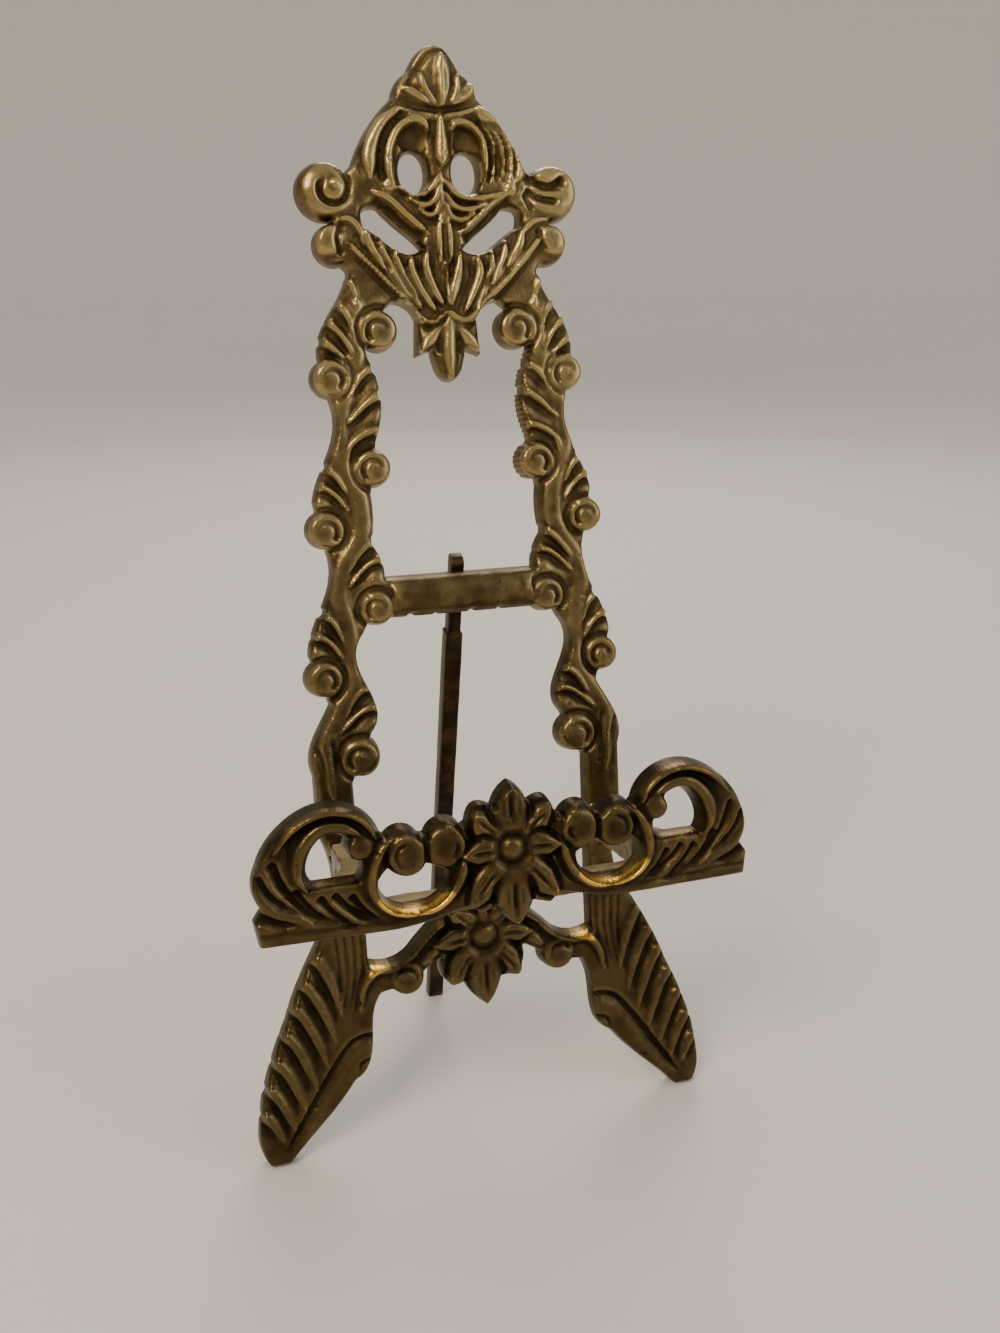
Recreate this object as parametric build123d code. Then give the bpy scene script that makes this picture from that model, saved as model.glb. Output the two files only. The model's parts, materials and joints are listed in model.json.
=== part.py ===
from build123d import *
import os
from math import cos, radians, sin, tan

# Folding table easel in sand-cast brass: a tall openwork front frame, a low openwork
# ledge held out in front of it on two arms, and a bar strut hinged behind the crossbar.
#
# The castings are drawn flat in their own plane and then leaned back as one.
#   u  across the easel, 0 in the middle
#   t  up the frame, 0 at the soles of the feet
#   w  out of the frame towards the viewer, 0 on the frame's flat back
# The world frame is X right, Y back, Z up, in millimetres. Its origin is on the table
# under the middle of the whole easel.

# Overall sizes
FRAME_LENGTH = 270.0        # soles to finial tip, measured up the lean
FRAME_WIDTH = 122.0         # across the splayed feet
LEDGE_WIDTH = 120.0         # across the ends of the ledge
LEAN = 9.5                  # degrees the frame leans back from upright
SPREAD = 22.5               # degrees between the frame and the open strut

# Castings
FRAME_THICK = 5.0           # flat back to the ground of the relief
LEDGE_THICK = 5.5
SHELF_DEPTH = 28.0          # clear space between the stiles and the ledge
BOSS_RISE = 1.2             # how far the round scroll ends stand above the ground
CROSSBAR_BOTTOM = 137.6     # up the frame
CROSSBAR_TOP = 148.0
CROSSBAR_SPAN = 44.0        # across, into the round scroll ends beside it

# Ledge arms and their screws
ARM_WIDTH = 6.6
ARM_HEIGHT = 8.0
ARM_CENTRE = 34.6           # across, in the middle of the stile
ARM_TOP = 83.5              # up the frame; the album rests here
ARM_FLARE = 7.0             # how far the arm widens where it runs into the ledge
RIB_BOTTOM = 71.6           # up the frame; the rib stiffens the ledge between the arms
RIB_OVERLAP = 1.0           # how far the rib runs up beside the arms
SCREW_R = 1.95
SCREW_BITE = 9.0            # length of thread inside the arm
SCREW_HEAD_R = 3.6
SCREW_HEAD_HEIGHT = 2.2
SLOT_WIDTH = 1.0
SLOT_DEPTH = 1.0
THREAD_GAP = 0.05
HOLE_GAP = 0.25

# Strut, ears and hinge pin
BAR_SIDE = 4.5              # the strut is a square bar
TONGUE_WIDTH = 3.4          # narrowed where it passes between the ears
TONGUE_DEPTH = 4.0
TONGUE_BELOW_PIN = 12.0
TONGUE_ABOVE_PIN = 9.6
TONGUE_CHAMFER = 1.2
EAR_THICK = 2.4
EAR_R = 3.3
EAR_GAP = 0.3               # each side of the tongue
PIN_R = 1.25
PIN_HEAD_R = 2.2
PIN_HEAD_HEIGHT = 0.9
PRESS_GAP = 0.02
RUNNING_GAP = 0.06
STOP_GAP = 0.05             # the tongue all but touches the crossbar when open

# Places that follow from the sizes above
TALL = FRAME_LENGTH / 270.0
WIDE = FRAME_WIDTH / 122.0
LEDGE_WIDE = LEDGE_WIDTH / 120.0
BAR_LOW = CROSSBAR_BOTTOM * TALL
BAR_HIGH = CROSSBAR_TOP * TALL
PIN_T = (BAR_LOW + BAR_HIGH) / 2
STOP_RISE = BAR_HIGH - PIN_T
PIN_W = -(TONGUE_DEPTH / 2 / cos(radians(SPREAD)) + STOP_RISE * tan(radians(SPREAD)) + STOP_GAP)
LEDGE_BACK = FRAME_THICK + SHELF_DEPTH
ARM_U = ARM_CENTRE * WIDE
ARM_T = ARM_TOP * TALL - ARM_HEIGHT / 2
EAR_INNER = TONGUE_WIDTH / 2 + EAR_GAP
EAR_OUTER = EAR_INNER + EAR_THICK
GROUND_CUT = 2 * (FRAME_LENGTH + FRAME_WIDTH)

# Round scroll ends on the right-hand half of the frame: across, up, radius
FRAME_BOSSES = [
    (27.5, 237.6, 6.7), (26.0, 225.8, 5.0), (17.0, 206.3, 5.0), (29.2, 195.5, 4.7), (20.5, 174.3, 4.8),
    (33.0, 160.2, 4.7), (21.8, 140.7, 4.6), (36.0, 124.3, 4.8), (28.3, 104.0, 5.3), (20.5, 44.8, 5.0),
]
LEDGE_BOSSES = [(16.0, 91.0, 4.8), (26.0, 90.4, 4.8), (35.6, 91.8, 2.8)]


def frame_points(points):
    """Pattern points of the frame, brought to its length and width."""
    return [(u * WIDE, t * TALL) for u, t in points]


def ledge_points(points):
    """Pattern points of the ledge: it widens by itself, but rises with the frame."""
    return [(u * LEDGE_WIDE, t * TALL) for u, t in points]


def face_of(runs):
    """A face bounded by runs of points, each a straight edge or one smooth curve."""
    edges = [Line(*run) if len(run) == 2 else Spline(*run) for run in runs]
    return make_face(edges)


def both_sides(shape):
    return shape + mirror(shape, Plane.YZ)


def crest_face():
    """Finial, arched shoulder, leaf fan and pendant, right half."""
    finial = [(0, 270.3), (2.0, 269.9), (4.4, 267.8), (6.4, 264.4)]
    petal = [(6.4, 264.4), (8.9, 262.2), (10.4, 258.6)]
    shoulder = [(10.4, 258.6), (15.8, 252.8), (20.8, 243.6)]
    scroll_side = [(20.8, 243.6), (27.5, 238), (26, 226)]
    panel = [(26, 226), (23.8, 218.6), (20.5, 206.5), (13, 212.6)]
    bow = [(13, 212.6), (9.8, 211.5), (7.6, 208.6)]
    tooth = [(7.6, 208.6), (8.2, 199.8), (4.4, 201.3)]
    drop = [(4.4, 201.3), (3.5, 197.2), (2.0, 194.8), (0, 194)]
    middle = [(0, 194), (0, 270.3)]
    smooth = [finial, petal, shoulder, bow, drop]
    corners = scroll_side + panel[1:]
    straight = [corners[i:i + 2] for i in range(len(corners) - 1)] + [tooth[:2], tooth[1:], middle]
    return face_of([frame_points(run) for run in smooth + straight])


def crest_holes():
    """Round-cornered eye and long leaf-shaped opening, right half."""
    eye = Pos(6.4 * WIDE, 242.0 * TALL) * Ellipse(3.1 * WIDE, 4.7 * TALL)
    upper = [(5.2, 224.8), (8, 227.5), (12, 230.7), (15.3, 234)]
    end = [(15.3, 234), (18.6, 233.4), (18.6, 230)]
    lower = [(18.6, 230), (14, 226.8), (10.5, 224.6), (5.2, 224.8)]
    return eye + face_of([frame_points(run) for run in (upper, end, lower)])


def stile_face():
    """One stile from the crest to the ankle, without its round scroll ends."""
    outside = [
        [(23.8, 218.6), (26.2, 213.5), (31, 205.3), (31.6, 200)],
        [(31.6, 200), (29.6, 190)],
        [(29.6, 190), (29.8, 181), (32.2, 175.5), (35.4, 167)],
        [(35.4, 167), (32.6, 152.8)],
        [(32.6, 152.8), (33, 147), (37, 137.8), (39.2, 130)],
        [(39.2, 130), (35, 117.6)],
        [(35, 117.6), (37.6, 113), (40.2, 108), (40.4, 100)],
        [(40.4, 100), (40.4, 85)],
        [(40.4, 85), (37.6, 72), (43, 57)],
    ]
    inside = [
        [(43, 57), (29.8, 57)],
        [(29.8, 57), (30.4, 97.5)],
        [(30.4, 97.5), (24.8, 109.6)],
        [(24.8, 109.6), (22.9, 114.2), (25.6, 122.8), (25.2, 134.5)],
        [(25.2, 134.5), (19, 146)],
        [(19, 146), (19.2, 151.5), (21.6, 156.3)],
        [(21.6, 156.3), (20.7, 162), (21, 168)],
        [(21, 168), (18.9, 180.7)],
        [(18.9, 180.7), (17, 188.5), (19.5, 200)],
        [(19.5, 200), (20.5, 206.5), (18, 216)],
        [(18, 216), (23.8, 218.6)],
    ]
    return face_of([frame_points(run) for run in outside + inside])


def foot_face():
    """One splayed foot: scalloped outer edge, knee and long inner blade."""
    outside = [
        [(43, 57), (46.3, 51), (49.5, 44.5), (52.2, 37.6)],
        [(52.2, 37.6), (55.2, 31), (57.9, 23.7), (59.8, 17.5)],
        [(59.8, 17.5), (61, 10), (61, 4.5), (59.8, 1), (58.2, -1.5)],
    ]
    sole = [(58.2, -1.5), (54.2, -1.5)]
    inside = [
        [(54.2, -1.5), (51.4, 1.8), (43.5, 9.5), (39, 14.2), (35, 19.2)],
        [(35, 19.2), (32, 21.5), (30.4, 25.5), (29.5, 35), (27, 41.4)],
    ]
    knee = [[(27, 41.4), (29.8, 50)], [(29.8, 50), (29.8, 57)], [(29.8, 57), (43, 57)]]
    return face_of([frame_points(run) for run in outside + [sole] + inside + knee])


def rail_face():
    """Lower rail, right half: flower in the middle, a scrolled arm to the leg."""
    top = [
        [(0, 66), (5, 65), (9, 61.5)],
        [(9, 61.5), (14.5, 57), (20, 51.5)],
        [(20, 51.5), (25, 49.4), (30.5, 50.5)],
    ]
    end = [(30.5, 50.5), (30.5, 41)]
    bottom = [
        [(30.5, 41), (26.5, 41.4)],
        [(26.5, 41.4), (20, 43), (14, 46.5)],
        [(14, 46.5), (11.5, 48)],
        [(11.5, 48), (11.4, 43.5), (9.4, 40.4)],
        [(9.4, 40.4), (5.2, 40.2)],
        [(5.2, 40.2), (3.2, 36.4), (0, 33.4)],
    ]
    middle = [(0, 33.4), (0, 66)]
    return face_of([frame_points(run) for run in top + [end] + bottom + [middle]])


def bosses(places, wide):
    """The round scroll ends of one half, as a flat sketch."""
    rounds = [Pos(u * wide, t * TALL) * Circle(r * min(wide, TALL)) for u, t, r in places]
    return Sketch() + rounds


def hinge_ears():
    """Two round-ended ears on the back of the crossbar, bored for the hinge pin."""
    hub = Pos(0, PIN_T, PIN_W) * Rotation(0, 90, 0) * Cylinder(EAR_R, 2 * EAR_OUTER)
    root = Pos(0, PIN_T, PIN_W / 2) * Box(2 * EAR_OUTER, 2 * EAR_R, -PIN_W)
    gap = Pos(0, PIN_T, PIN_W - EAR_R) * Box(2 * EAR_INNER, 4 * EAR_R, 2 * (EAR_R - PIN_W))
    bore = Pos(0, PIN_T, PIN_W) * Rotation(0, 90, 0) * Cylinder(PIN_R + PRESS_GAP, 3 * EAR_OUTER)
    return hub + root - gap, bore


def front_frame():
    """The one-piece front casting."""
    crossbar = Pos(0, PIN_T) * Rectangle(CROSSBAR_SPAN * WIDE, BAR_HIGH - BAR_LOW)
    half = crest_face() + stile_face() + foot_face() + rail_face() + bosses(FRAME_BOSSES, WIDE)
    outline = both_sides(half) + crossbar - both_sides(crest_holes())
    body = extrude(outline, FRAME_THICK)
    body += extrude(both_sides(bosses(FRAME_BOSSES, WIDE)), FRAME_THICK + BOSS_RISE)
    ears, bore = hinge_ears()
    screw_hole = Pos(ARM_U, ARM_T, FRAME_THICK / 2) * Cylinder(SCREW_R + HOLE_GAP, 3 * FRAME_THICK)
    arm_seat = Pos(ARM_U, ARM_T, FRAME_THICK + BOSS_RISE) * Box(2 * ARM_WIDTH, 2 * ARM_HEIGHT, 2 * BOSS_RISE)
    return body + ears - bore - both_sides(screw_hole) - both_sides(arm_seat)


def ledge_face():
    """Openwork face of the ledge, right half: flower, two scrolls and a leafy end."""
    top = [
        [(0, 102.4), (2.6, 100.4), (4.4, 97)],
        [(4.4, 97), (8.2, 98), (10.8, 93.8)],
        [(10.8, 93.8), (16, 91)],
        [(16, 91), (26, 90.4)],
        [(26, 90.4), (30.4, 94)],
        [(30.4, 94), (34.6, 100), (42, 102.4), (52.5, 98.4), (58.6, 90)],
        [(58.6, 90), (59.8, 85), (58.2, 80)],
        [(58.2, 80), (60, 77.5)],
    ]
    end = [(60, 77.5), (59, 71.3)]
    bottom = [
        [(59, 71.3), (28, 70.8)],
        [(28, 70.8), (20, 71.8), (11, 74)],
        [(11, 74), (8.6, 71.6)],
        [(8.6, 71.6), (4.6, 72.8)],
        [(4.6, 72.8), (2.6, 69.6), (0, 68)],
    ]
    middle = [(0, 68), (0, 102.4)]
    return face_of([ledge_points(run) for run in top + [end] + bottom + [middle]])


def ledge_holes():
    """The wide opening under the two scroll ends and the D-shaped one at the end, right half."""
    mid_low = [(15.8, 83.2), (18, 78), (24, 76), (29.6, 78), (31.4, 83)]
    mid_top = [(31.4, 83), (27, 86.4), (21, 85.6), (15.8, 83.2)]
    end_low = [(36.6, 84.6), (46.4, 84.6)]
    end_top = [(46.4, 84.6), (46.6, 91), (41.6, 95.4), (38, 93.4), (36.6, 84.6)]
    middle = face_of([ledge_points(run) for run in (mid_low, mid_top)])
    return middle + face_of([ledge_points(run) for run in (end_low, end_top)])


def ledge_arm():
    """Right-hand arm from the back of the ledge to the stile, flared into the ledge."""
    inner = ARM_U - ARM_WIDTH / 2
    outer = ARM_U + ARM_WIDTH / 2
    start = (outer, FRAME_THICK + SHELF_DEPTH / 2)
    flared = (outer + ARM_FLARE, LEDGE_BACK)
    runs = [
        [(inner, FRAME_THICK), (outer, FRAME_THICK)],
        [(outer, FRAME_THICK), start],
        [start, (outer + ARM_FLARE / 4, LEDGE_BACK - SHELF_DEPTH / 6), flared],
        [flared, (inner, LEDGE_BACK)],
        [(inner, LEDGE_BACK), (inner, FRAME_THICK)],
    ]
    plan = face_of(runs)
    return Pos(0, ARM_T + ARM_HEIGHT / 2, 0) * extrude(Rotation(90, 0, 0) * plan, ARM_HEIGHT)


def front_ledge():
    """Ledge casting: openwork face, stiffening rib along its back and two arms."""
    half = ledge_face() + bosses(LEDGE_BOSSES, LEDGE_WIDE)
    outline = both_sides(half) - both_sides(ledge_holes() - bosses(LEDGE_BOSSES, LEDGE_WIDE))
    body = Pos(0, 0, LEDGE_BACK) * extrude(outline, LEDGE_THICK)
    ends = both_sides(bosses(LEDGE_BOSSES, LEDGE_WIDE))
    raised = Pos(0, 0, LEDGE_BACK) * extrude(ends, LEDGE_THICK + BOSS_RISE)
    rib_top = ARM_T - ARM_HEIGHT / 2 + RIB_OVERLAP
    rib_bottom = RIB_BOTTOM * TALL
    rib_place = Pos(0, (rib_top + rib_bottom) / 2, LEDGE_BACK - LEDGE_THICK / 2)
    rib = rib_place * Box(2 * ARM_U + ARM_WIDTH, rib_top - rib_bottom, LEDGE_THICK)
    thread = Pos(ARM_U, ARM_T, FRAME_THICK) * Cylinder(SCREW_R + THREAD_GAP, 2 * SCREW_BITE)
    return body + raised + rib + both_sides(ledge_arm()) - both_sides(thread)


def ledge_screw():
    """Slotted round-head screw, driven from behind through the stile into the arm."""
    upright = (Align.CENTER, Align.CENTER, Align.MIN)
    shank = Cylinder(SCREW_R, FRAME_THICK + SCREW_BITE - HOLE_GAP, align=upright)
    head = Pos(0, 0, -SCREW_HEAD_HEIGHT) * Cylinder(SCREW_HEAD_R, SCREW_HEAD_HEIGHT, align=upright)
    head = fillet(head.edges().group_by(Axis.Z)[0], SCREW_HEAD_HEIGHT * 0.6)
    slot = Pos(0, 0, -SCREW_HEAD_HEIGHT) * Box(3 * SCREW_HEAD_R, SLOT_WIDTH, 2 * SLOT_DEPTH)
    return Pos(ARM_U, ARM_T, 0) * (shank + head - slot)


def hinge_pin():
    """Round pin riveted over outside both ears."""
    side = Rotation(0, 90, 0)
    shank = side * Cylinder(PIN_R, 2 * EAR_OUTER)
    head = Pos(EAR_OUTER + PIN_HEAD_HEIGHT / 2, 0, 0) * side * Cylinder(PIN_HEAD_R, PIN_HEAD_HEIGHT)
    head = fillet(head.edges().group_by(Axis.X)[-1], PIN_HEAD_HEIGHT * 0.7)
    return Pos(0, PIN_T, PIN_W) * (shank + both_sides(head))


def rear_strut():
    """Square bar with a tongue through the ears; its head meets the crossbar when open."""
    reach = 1.2 * PIN_T  # past the table, where it is cut level
    tongue_length = TONGUE_ABOVE_PIN + TONGUE_BELOW_PIN
    tongue_middle = (TONGUE_ABOVE_PIN - TONGUE_BELOW_PIN) / 2
    tongue = Pos(0, tongue_middle, 0) * Box(TONGUE_WIDTH, tongue_length, TONGUE_DEPTH)
    front_edge = tongue.edges().filter_by(Axis.X).sort_by(Axis.Y)[-2:].sort_by(Axis.Z)[-1]
    tongue = chamfer(front_edge, TONGUE_CHAMFER)
    bar = Pos(0, -(TONGUE_BELOW_PIN + reach) / 2, 0) * Box(BAR_SIDE, reach - TONGUE_BELOW_PIN, BAR_SIDE)
    bore = Rotation(0, 90, 0) * Cylinder(PIN_R + RUNNING_GAP, 3 * TONGUE_WIDTH)
    folded = tongue + bar - bore
    return Pos(0, PIN_T, PIN_W) * Rotation(SPREAD, 0, 0) * folded


def stand_up(shape):
    """Lean a shape back from the casting plane and cut it level with the table."""
    plane = Plane(origin=(0, 0, 0), x_dir=(1, 0, 0), z_dir=(0, -cos(radians(LEAN)), sin(radians(LEAN))))
    below = Pos(0, 0, -GROUND_CUT / 2) * Box(GROUND_CUT, GROUND_CUT, GROUND_CUT)
    return plane.location * shape - below


def build():
    """Every node at rest, with the origin on the table under the middle of the easel."""
    nodes = {
        "front_frame": stand_up(front_frame()),
        "front_ledge": stand_up(front_ledge()),
        "ledge_screws": stand_up(both_sides(ledge_screw())),
        "hinge_pin": stand_up(hinge_pin()),
        "rear_strut": stand_up(rear_strut()),
    }
    box = Compound(list(nodes.values())).bounding_box()
    centring = Pos(0, -(box.min.Y + box.max.Y) / 2, 0)
    return {name: centring * shape for name, shape in nodes.items()}


if __name__ == "__main__":
    os.makedirs("parts", exist_ok=True)
    for name, shape in build().items():
        export_step(shape, f"parts/{name}.step")
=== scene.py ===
import json
from math import atan2, ceil, cos, pi, radians, sin, tan

import bmesh
import bpy
import numpy as np
from bpy.props import FloatProperty, FloatVectorProperty, IntProperty, PointerProperty, StringProperty
from mathutils import Matrix, Vector, noise
from mathutils.geometry import delaunay_2d_cdt


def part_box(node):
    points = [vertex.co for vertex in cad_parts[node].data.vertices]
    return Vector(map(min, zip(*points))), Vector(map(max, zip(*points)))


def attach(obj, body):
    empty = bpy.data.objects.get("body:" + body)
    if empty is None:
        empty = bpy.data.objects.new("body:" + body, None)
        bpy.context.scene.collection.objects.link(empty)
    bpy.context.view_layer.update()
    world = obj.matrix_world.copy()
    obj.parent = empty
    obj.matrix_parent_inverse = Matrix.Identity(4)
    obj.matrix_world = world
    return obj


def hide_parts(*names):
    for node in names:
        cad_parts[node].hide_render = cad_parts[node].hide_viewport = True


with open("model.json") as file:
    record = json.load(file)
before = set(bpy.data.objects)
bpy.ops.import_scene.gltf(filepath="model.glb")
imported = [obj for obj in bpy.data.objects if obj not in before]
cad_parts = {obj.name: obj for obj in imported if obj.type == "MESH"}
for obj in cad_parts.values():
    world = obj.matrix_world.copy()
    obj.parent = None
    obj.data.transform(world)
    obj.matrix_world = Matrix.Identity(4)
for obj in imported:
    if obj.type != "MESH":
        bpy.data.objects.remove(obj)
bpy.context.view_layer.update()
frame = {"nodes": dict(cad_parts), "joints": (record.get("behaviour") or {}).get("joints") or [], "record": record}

bl_info = {
    "name": "Cast Brass Easel",
    "version": (1, 0, 0),
    "blender": (4, 5, 0),
    "location": "3D View > Sidebar > Easel",
    "description": "Models the relief, the hinge and the patina of a cast brass table easel",
    "category": "Add Mesh",
}

# The castings are sculpted flat, in millimetres, and then leaned back as one:
#   u  across, 0 in the middle;  t  up the lean, 0 at the soles;  w  out of the flat back
MM = 0.001
FRAME_THICK = 5.0
LEDGE_BACK = FRAME_THICK + 28.0
NODES = frame["nodes"]
HINGE = frame["joints"][0]
REST = next(mount for mount in frame["record"]["mounts"] if mount["name"] == "album_rest_right")

# The rest faces up the lean; the strut hangs back from the castings by the hinge's full travel
LEAN = atan2(REST["axis"][1], REST["axis"][2])
SPREAD = radians(HINGE["range_deg"][1])

# The first ring of a casting's mesh lies this far in from its outline
RIM = 0.02
# Depth of the dents in a casting's flat back, and the wear of its walls and its back
DENT = 0.07
WALL_WEAR, BACK_WEAR = 0.42, 0.46


def back_line():
    """Where the frame's flat back meets the table: its Y, in millimetres."""
    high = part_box("front_frame")[1] / MM
    length = (high.z - FRAME_THICK * sin(LEAN)) / cos(LEAN)
    return high.y - length * sin(LEAN)


BACK_Y = back_line()


def to_world(u, t, w):
    """Casting coordinates in millimetres to row frame coordinates in metres, as an (n, 3) array."""
    u, t, w = np.broadcast_arrays(np.asarray(u, float), np.asarray(t, float), np.asarray(w, float))
    y = t * sin(LEAN) - w * cos(LEAN) + BACK_Y
    z = t * cos(LEAN) + w * sin(LEAN)
    return np.stack([u, y, z], -1).reshape(-1, 3) * MM


def to_casting(points):
    """Row frame coordinates in metres to casting coordinates in millimetres."""
    x, y, z = (np.asarray(points, float) / MM).T
    y = y - BACK_Y
    return np.stack([x, y * sin(LEAN) + z * cos(LEAN), z * sin(LEAN) - y * cos(LEAN)], -1)


def node_points(name):
    """The vertices of a CAD node in casting coordinates."""
    return to_casting([vertex.co for vertex in NODES[name].data.vertices])


PIN_T, PIN_W = to_casting([HINGE["pos_m"]])[0][1:]
ARM_U, ARM_TOP, _ = to_casting([REST["pos_m"]])[0]
LEDGE_FRONT = node_points("front_ledge")[:, 2].max()


# ---------------------------------------------------------------- settings


def millimetres(name, description, default):
    return FloatProperty(name=name, description=description + ", in millimetres", default=default, min=0)


def hex_colour(name, description, default):
    return StringProperty(name=name, description=description + ", a hex sRGB colour", default=default)


def rotation(name, description, degrees):
    return FloatProperty(name=name, description=description, default=radians(degrees), unit="ROTATION")


class CastingSettings(bpy.types.PropertyGroup):
    grid: millimetres("Grid", "Spacing of the height map", 0.25)
    frame_mesh: millimetres("Frame mesh", "Spacing of the frame's points", 0.42)
    ledge_mesh: millimetres("Ledge mesh", "Spacing of the ledge's points", 0.32)
    draft: millimetres("Draft", "How far a side wall leans in to its top", 0.35)
    shoulder: millimetres("Shoulder", "Width of the rounding above a wall", 1.1)
    wall: millimetres("Wall", "Height of the side wall above the back", 2.9)
    grain: millimetres("Grain", "Height of the sand-cast unevenness", 0.10)
    seed: IntProperty(name="Seed", description="Seed of the cast unevenness", default=11)


class SolidSettings(bpy.types.PropertyGroup):
    arm_width: millimetres("Arm width", "Across an arm where it meets the stile", 6.6)
    arm_height: millimetres("Arm height", "From the underside of an arm to the rest", 8.0)
    arm_flare: millimetres("Arm flare", "How far an arm widens into the ledge", 7.0)
    arm_straight: millimetres("Arm straight", "Length of an arm before its flare", 12.0)
    rib_depth: millimetres("Rib depth", "From the ledge's back to the rib's", 5.5)
    rib_drop: millimetres("Rib drop", "How far the rib hangs below the arms", 3.9)
    rib_lap: millimetres("Rib lap", "How far the rib reaches up into the arms", 1.0)
    bar_side: millimetres("Bar side", "Side of the strut's square bar", 4.5)
    tongue_width: millimetres("Tongue width", "Strut between the ears", 3.4)
    tongue_depth: millimetres("Tongue depth", "Strut between the ears, front to back", 4.0)
    ear_thick: millimetres("Ear thickness", "Across one ear", 2.4)
    ear_radius: millimetres("Ear radius", "Round end of an ear", 3.3)
    ear_gap: millimetres("Ear gap", "Between the tongue and an ear", 0.3)
    pin_radius: millimetres("Pin radius", "Shank of the hinge pin", 1.25)
    screw_radius: millimetres("Screw head", "Radius of a screw's head", 3.6)
    screw_rise: millimetres("Screw rise", "Height of a screw's head", 2.2)
    screw_seed: IntProperty(name="Screw seed", description="Seed of the slots' angles", default=4)


class PatinaSettings(bpy.types.PropertyGroup):
    # Rubbed: light brass on the crests, partly worn metal and partly a painted highlight
    bright: hex_colour("Rubbed", "Brass on the worn high relief", "CDB67C")
    body: hex_colour("Body", "Dulled brass", "7A6A45")
    brown: hex_colour("Brown", "Brown tarnish", "4A3822")
    # Grime: dirt and wax in the hollows, deepened with painted shade
    grime_and_shade: hex_colour("Grime", "Dirt and wax in the hollows", "2A1E11")
    # Gold: rubbed metal on rims, partly a painted highlight on their upward faces
    bare_gold_and_glint: hex_colour("Gold", "Bare metal on rubbed edges", "CFA24A")
    film: hex_colour("Film", "Dust and old polish on the arms", "9C8760")
    bronze: hex_colour("Bronze", "Near-black brown of the strut", "2A1C12")


class StageSettings(bpy.types.PropertyGroup):
    floor: hex_colour("Floor", "Pale floor", "D9D5CE")
    sky: hex_colour("Sky", "Soft light from all round", "F2EFEA")
    focal: FloatProperty(name="Focal", description="Focal length for a 24 mm tall sensor", default=21.6)
    yaw: rotation("Yaw", "Camera's turn to the right", 17.0)
    pitch: rotation("Pitch", "Camera's dip", 18.8)
    roll: rotation("Roll", "Camera's roll", -0.1)
    place: FloatVectorProperty(name="Place", description="Camera's place before the frame's relief, metres",
                               default=(-0.0755, -0.2540, 0.2202), subtype="TRANSLATION")


# ---------------------------------------------------------------- height maps


def smooth_path(points, gap=0.2):
    """A Catmull-Rom curve through the points, sampled about every gap millimetres."""
    pts = np.array(points, float)
    padded = np.vstack([2 * pts[0] - pts[1], pts, 2 * pts[-1] - pts[-2]])
    out = []
    for a, b, c, d in zip(padded, padded[1:], padded[2:], padded[3:]):
        s = np.linspace(0, 1, max(2, ceil(np.linalg.norm(c - b) / gap)), endpoint=False)[:, None]
        out.append(b + 0.5 * s * (c - a + s * (2 * a - 5 * b + 4 * c - d + s * (3 * (b - c) + d - a))))
    return np.vstack(out + [pts[-1:]])


def arc(centre, radius, start, stop, inner=None, count=9):
    """Points round a centre between two angles in degrees, winding in to the inner radius."""
    s = np.linspace(0, 1, count)
    angle = np.radians(start + (stop - start) * s)
    reach = radius if inner is None else radius + (inner - radius) * s
    return np.stack([centre[0] + reach * np.cos(angle), centre[1] + reach * np.sin(angle)], -1)


def blurred(field, cells):
    """Gaussian blur with a radius in grid cells."""
    reach = max(1, int(3 * cells))
    weights = np.exp(-0.5 * (np.arange(-reach, reach + 1) / cells) ** 2)
    weights /= weights.sum()
    for axis in (0, 1):
        wide = np.pad(field, [(reach, reach) if a == axis else (0, 0) for a in (0, 1)], mode="edge")
        length = field.shape[axis]
        field = sum(w * wide.take(range(k, k + length), axis=axis) for k, w in enumerate(weights))
    return field


def tapered(share, ends):
    """1 along the middle of a stroke, down to 0 over a share of its length at each end."""
    return np.clip(np.minimum(share / max(ends[0], 1e-3), (1 - share) / max(ends[1], 1e-3)), 0, 1)


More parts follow.
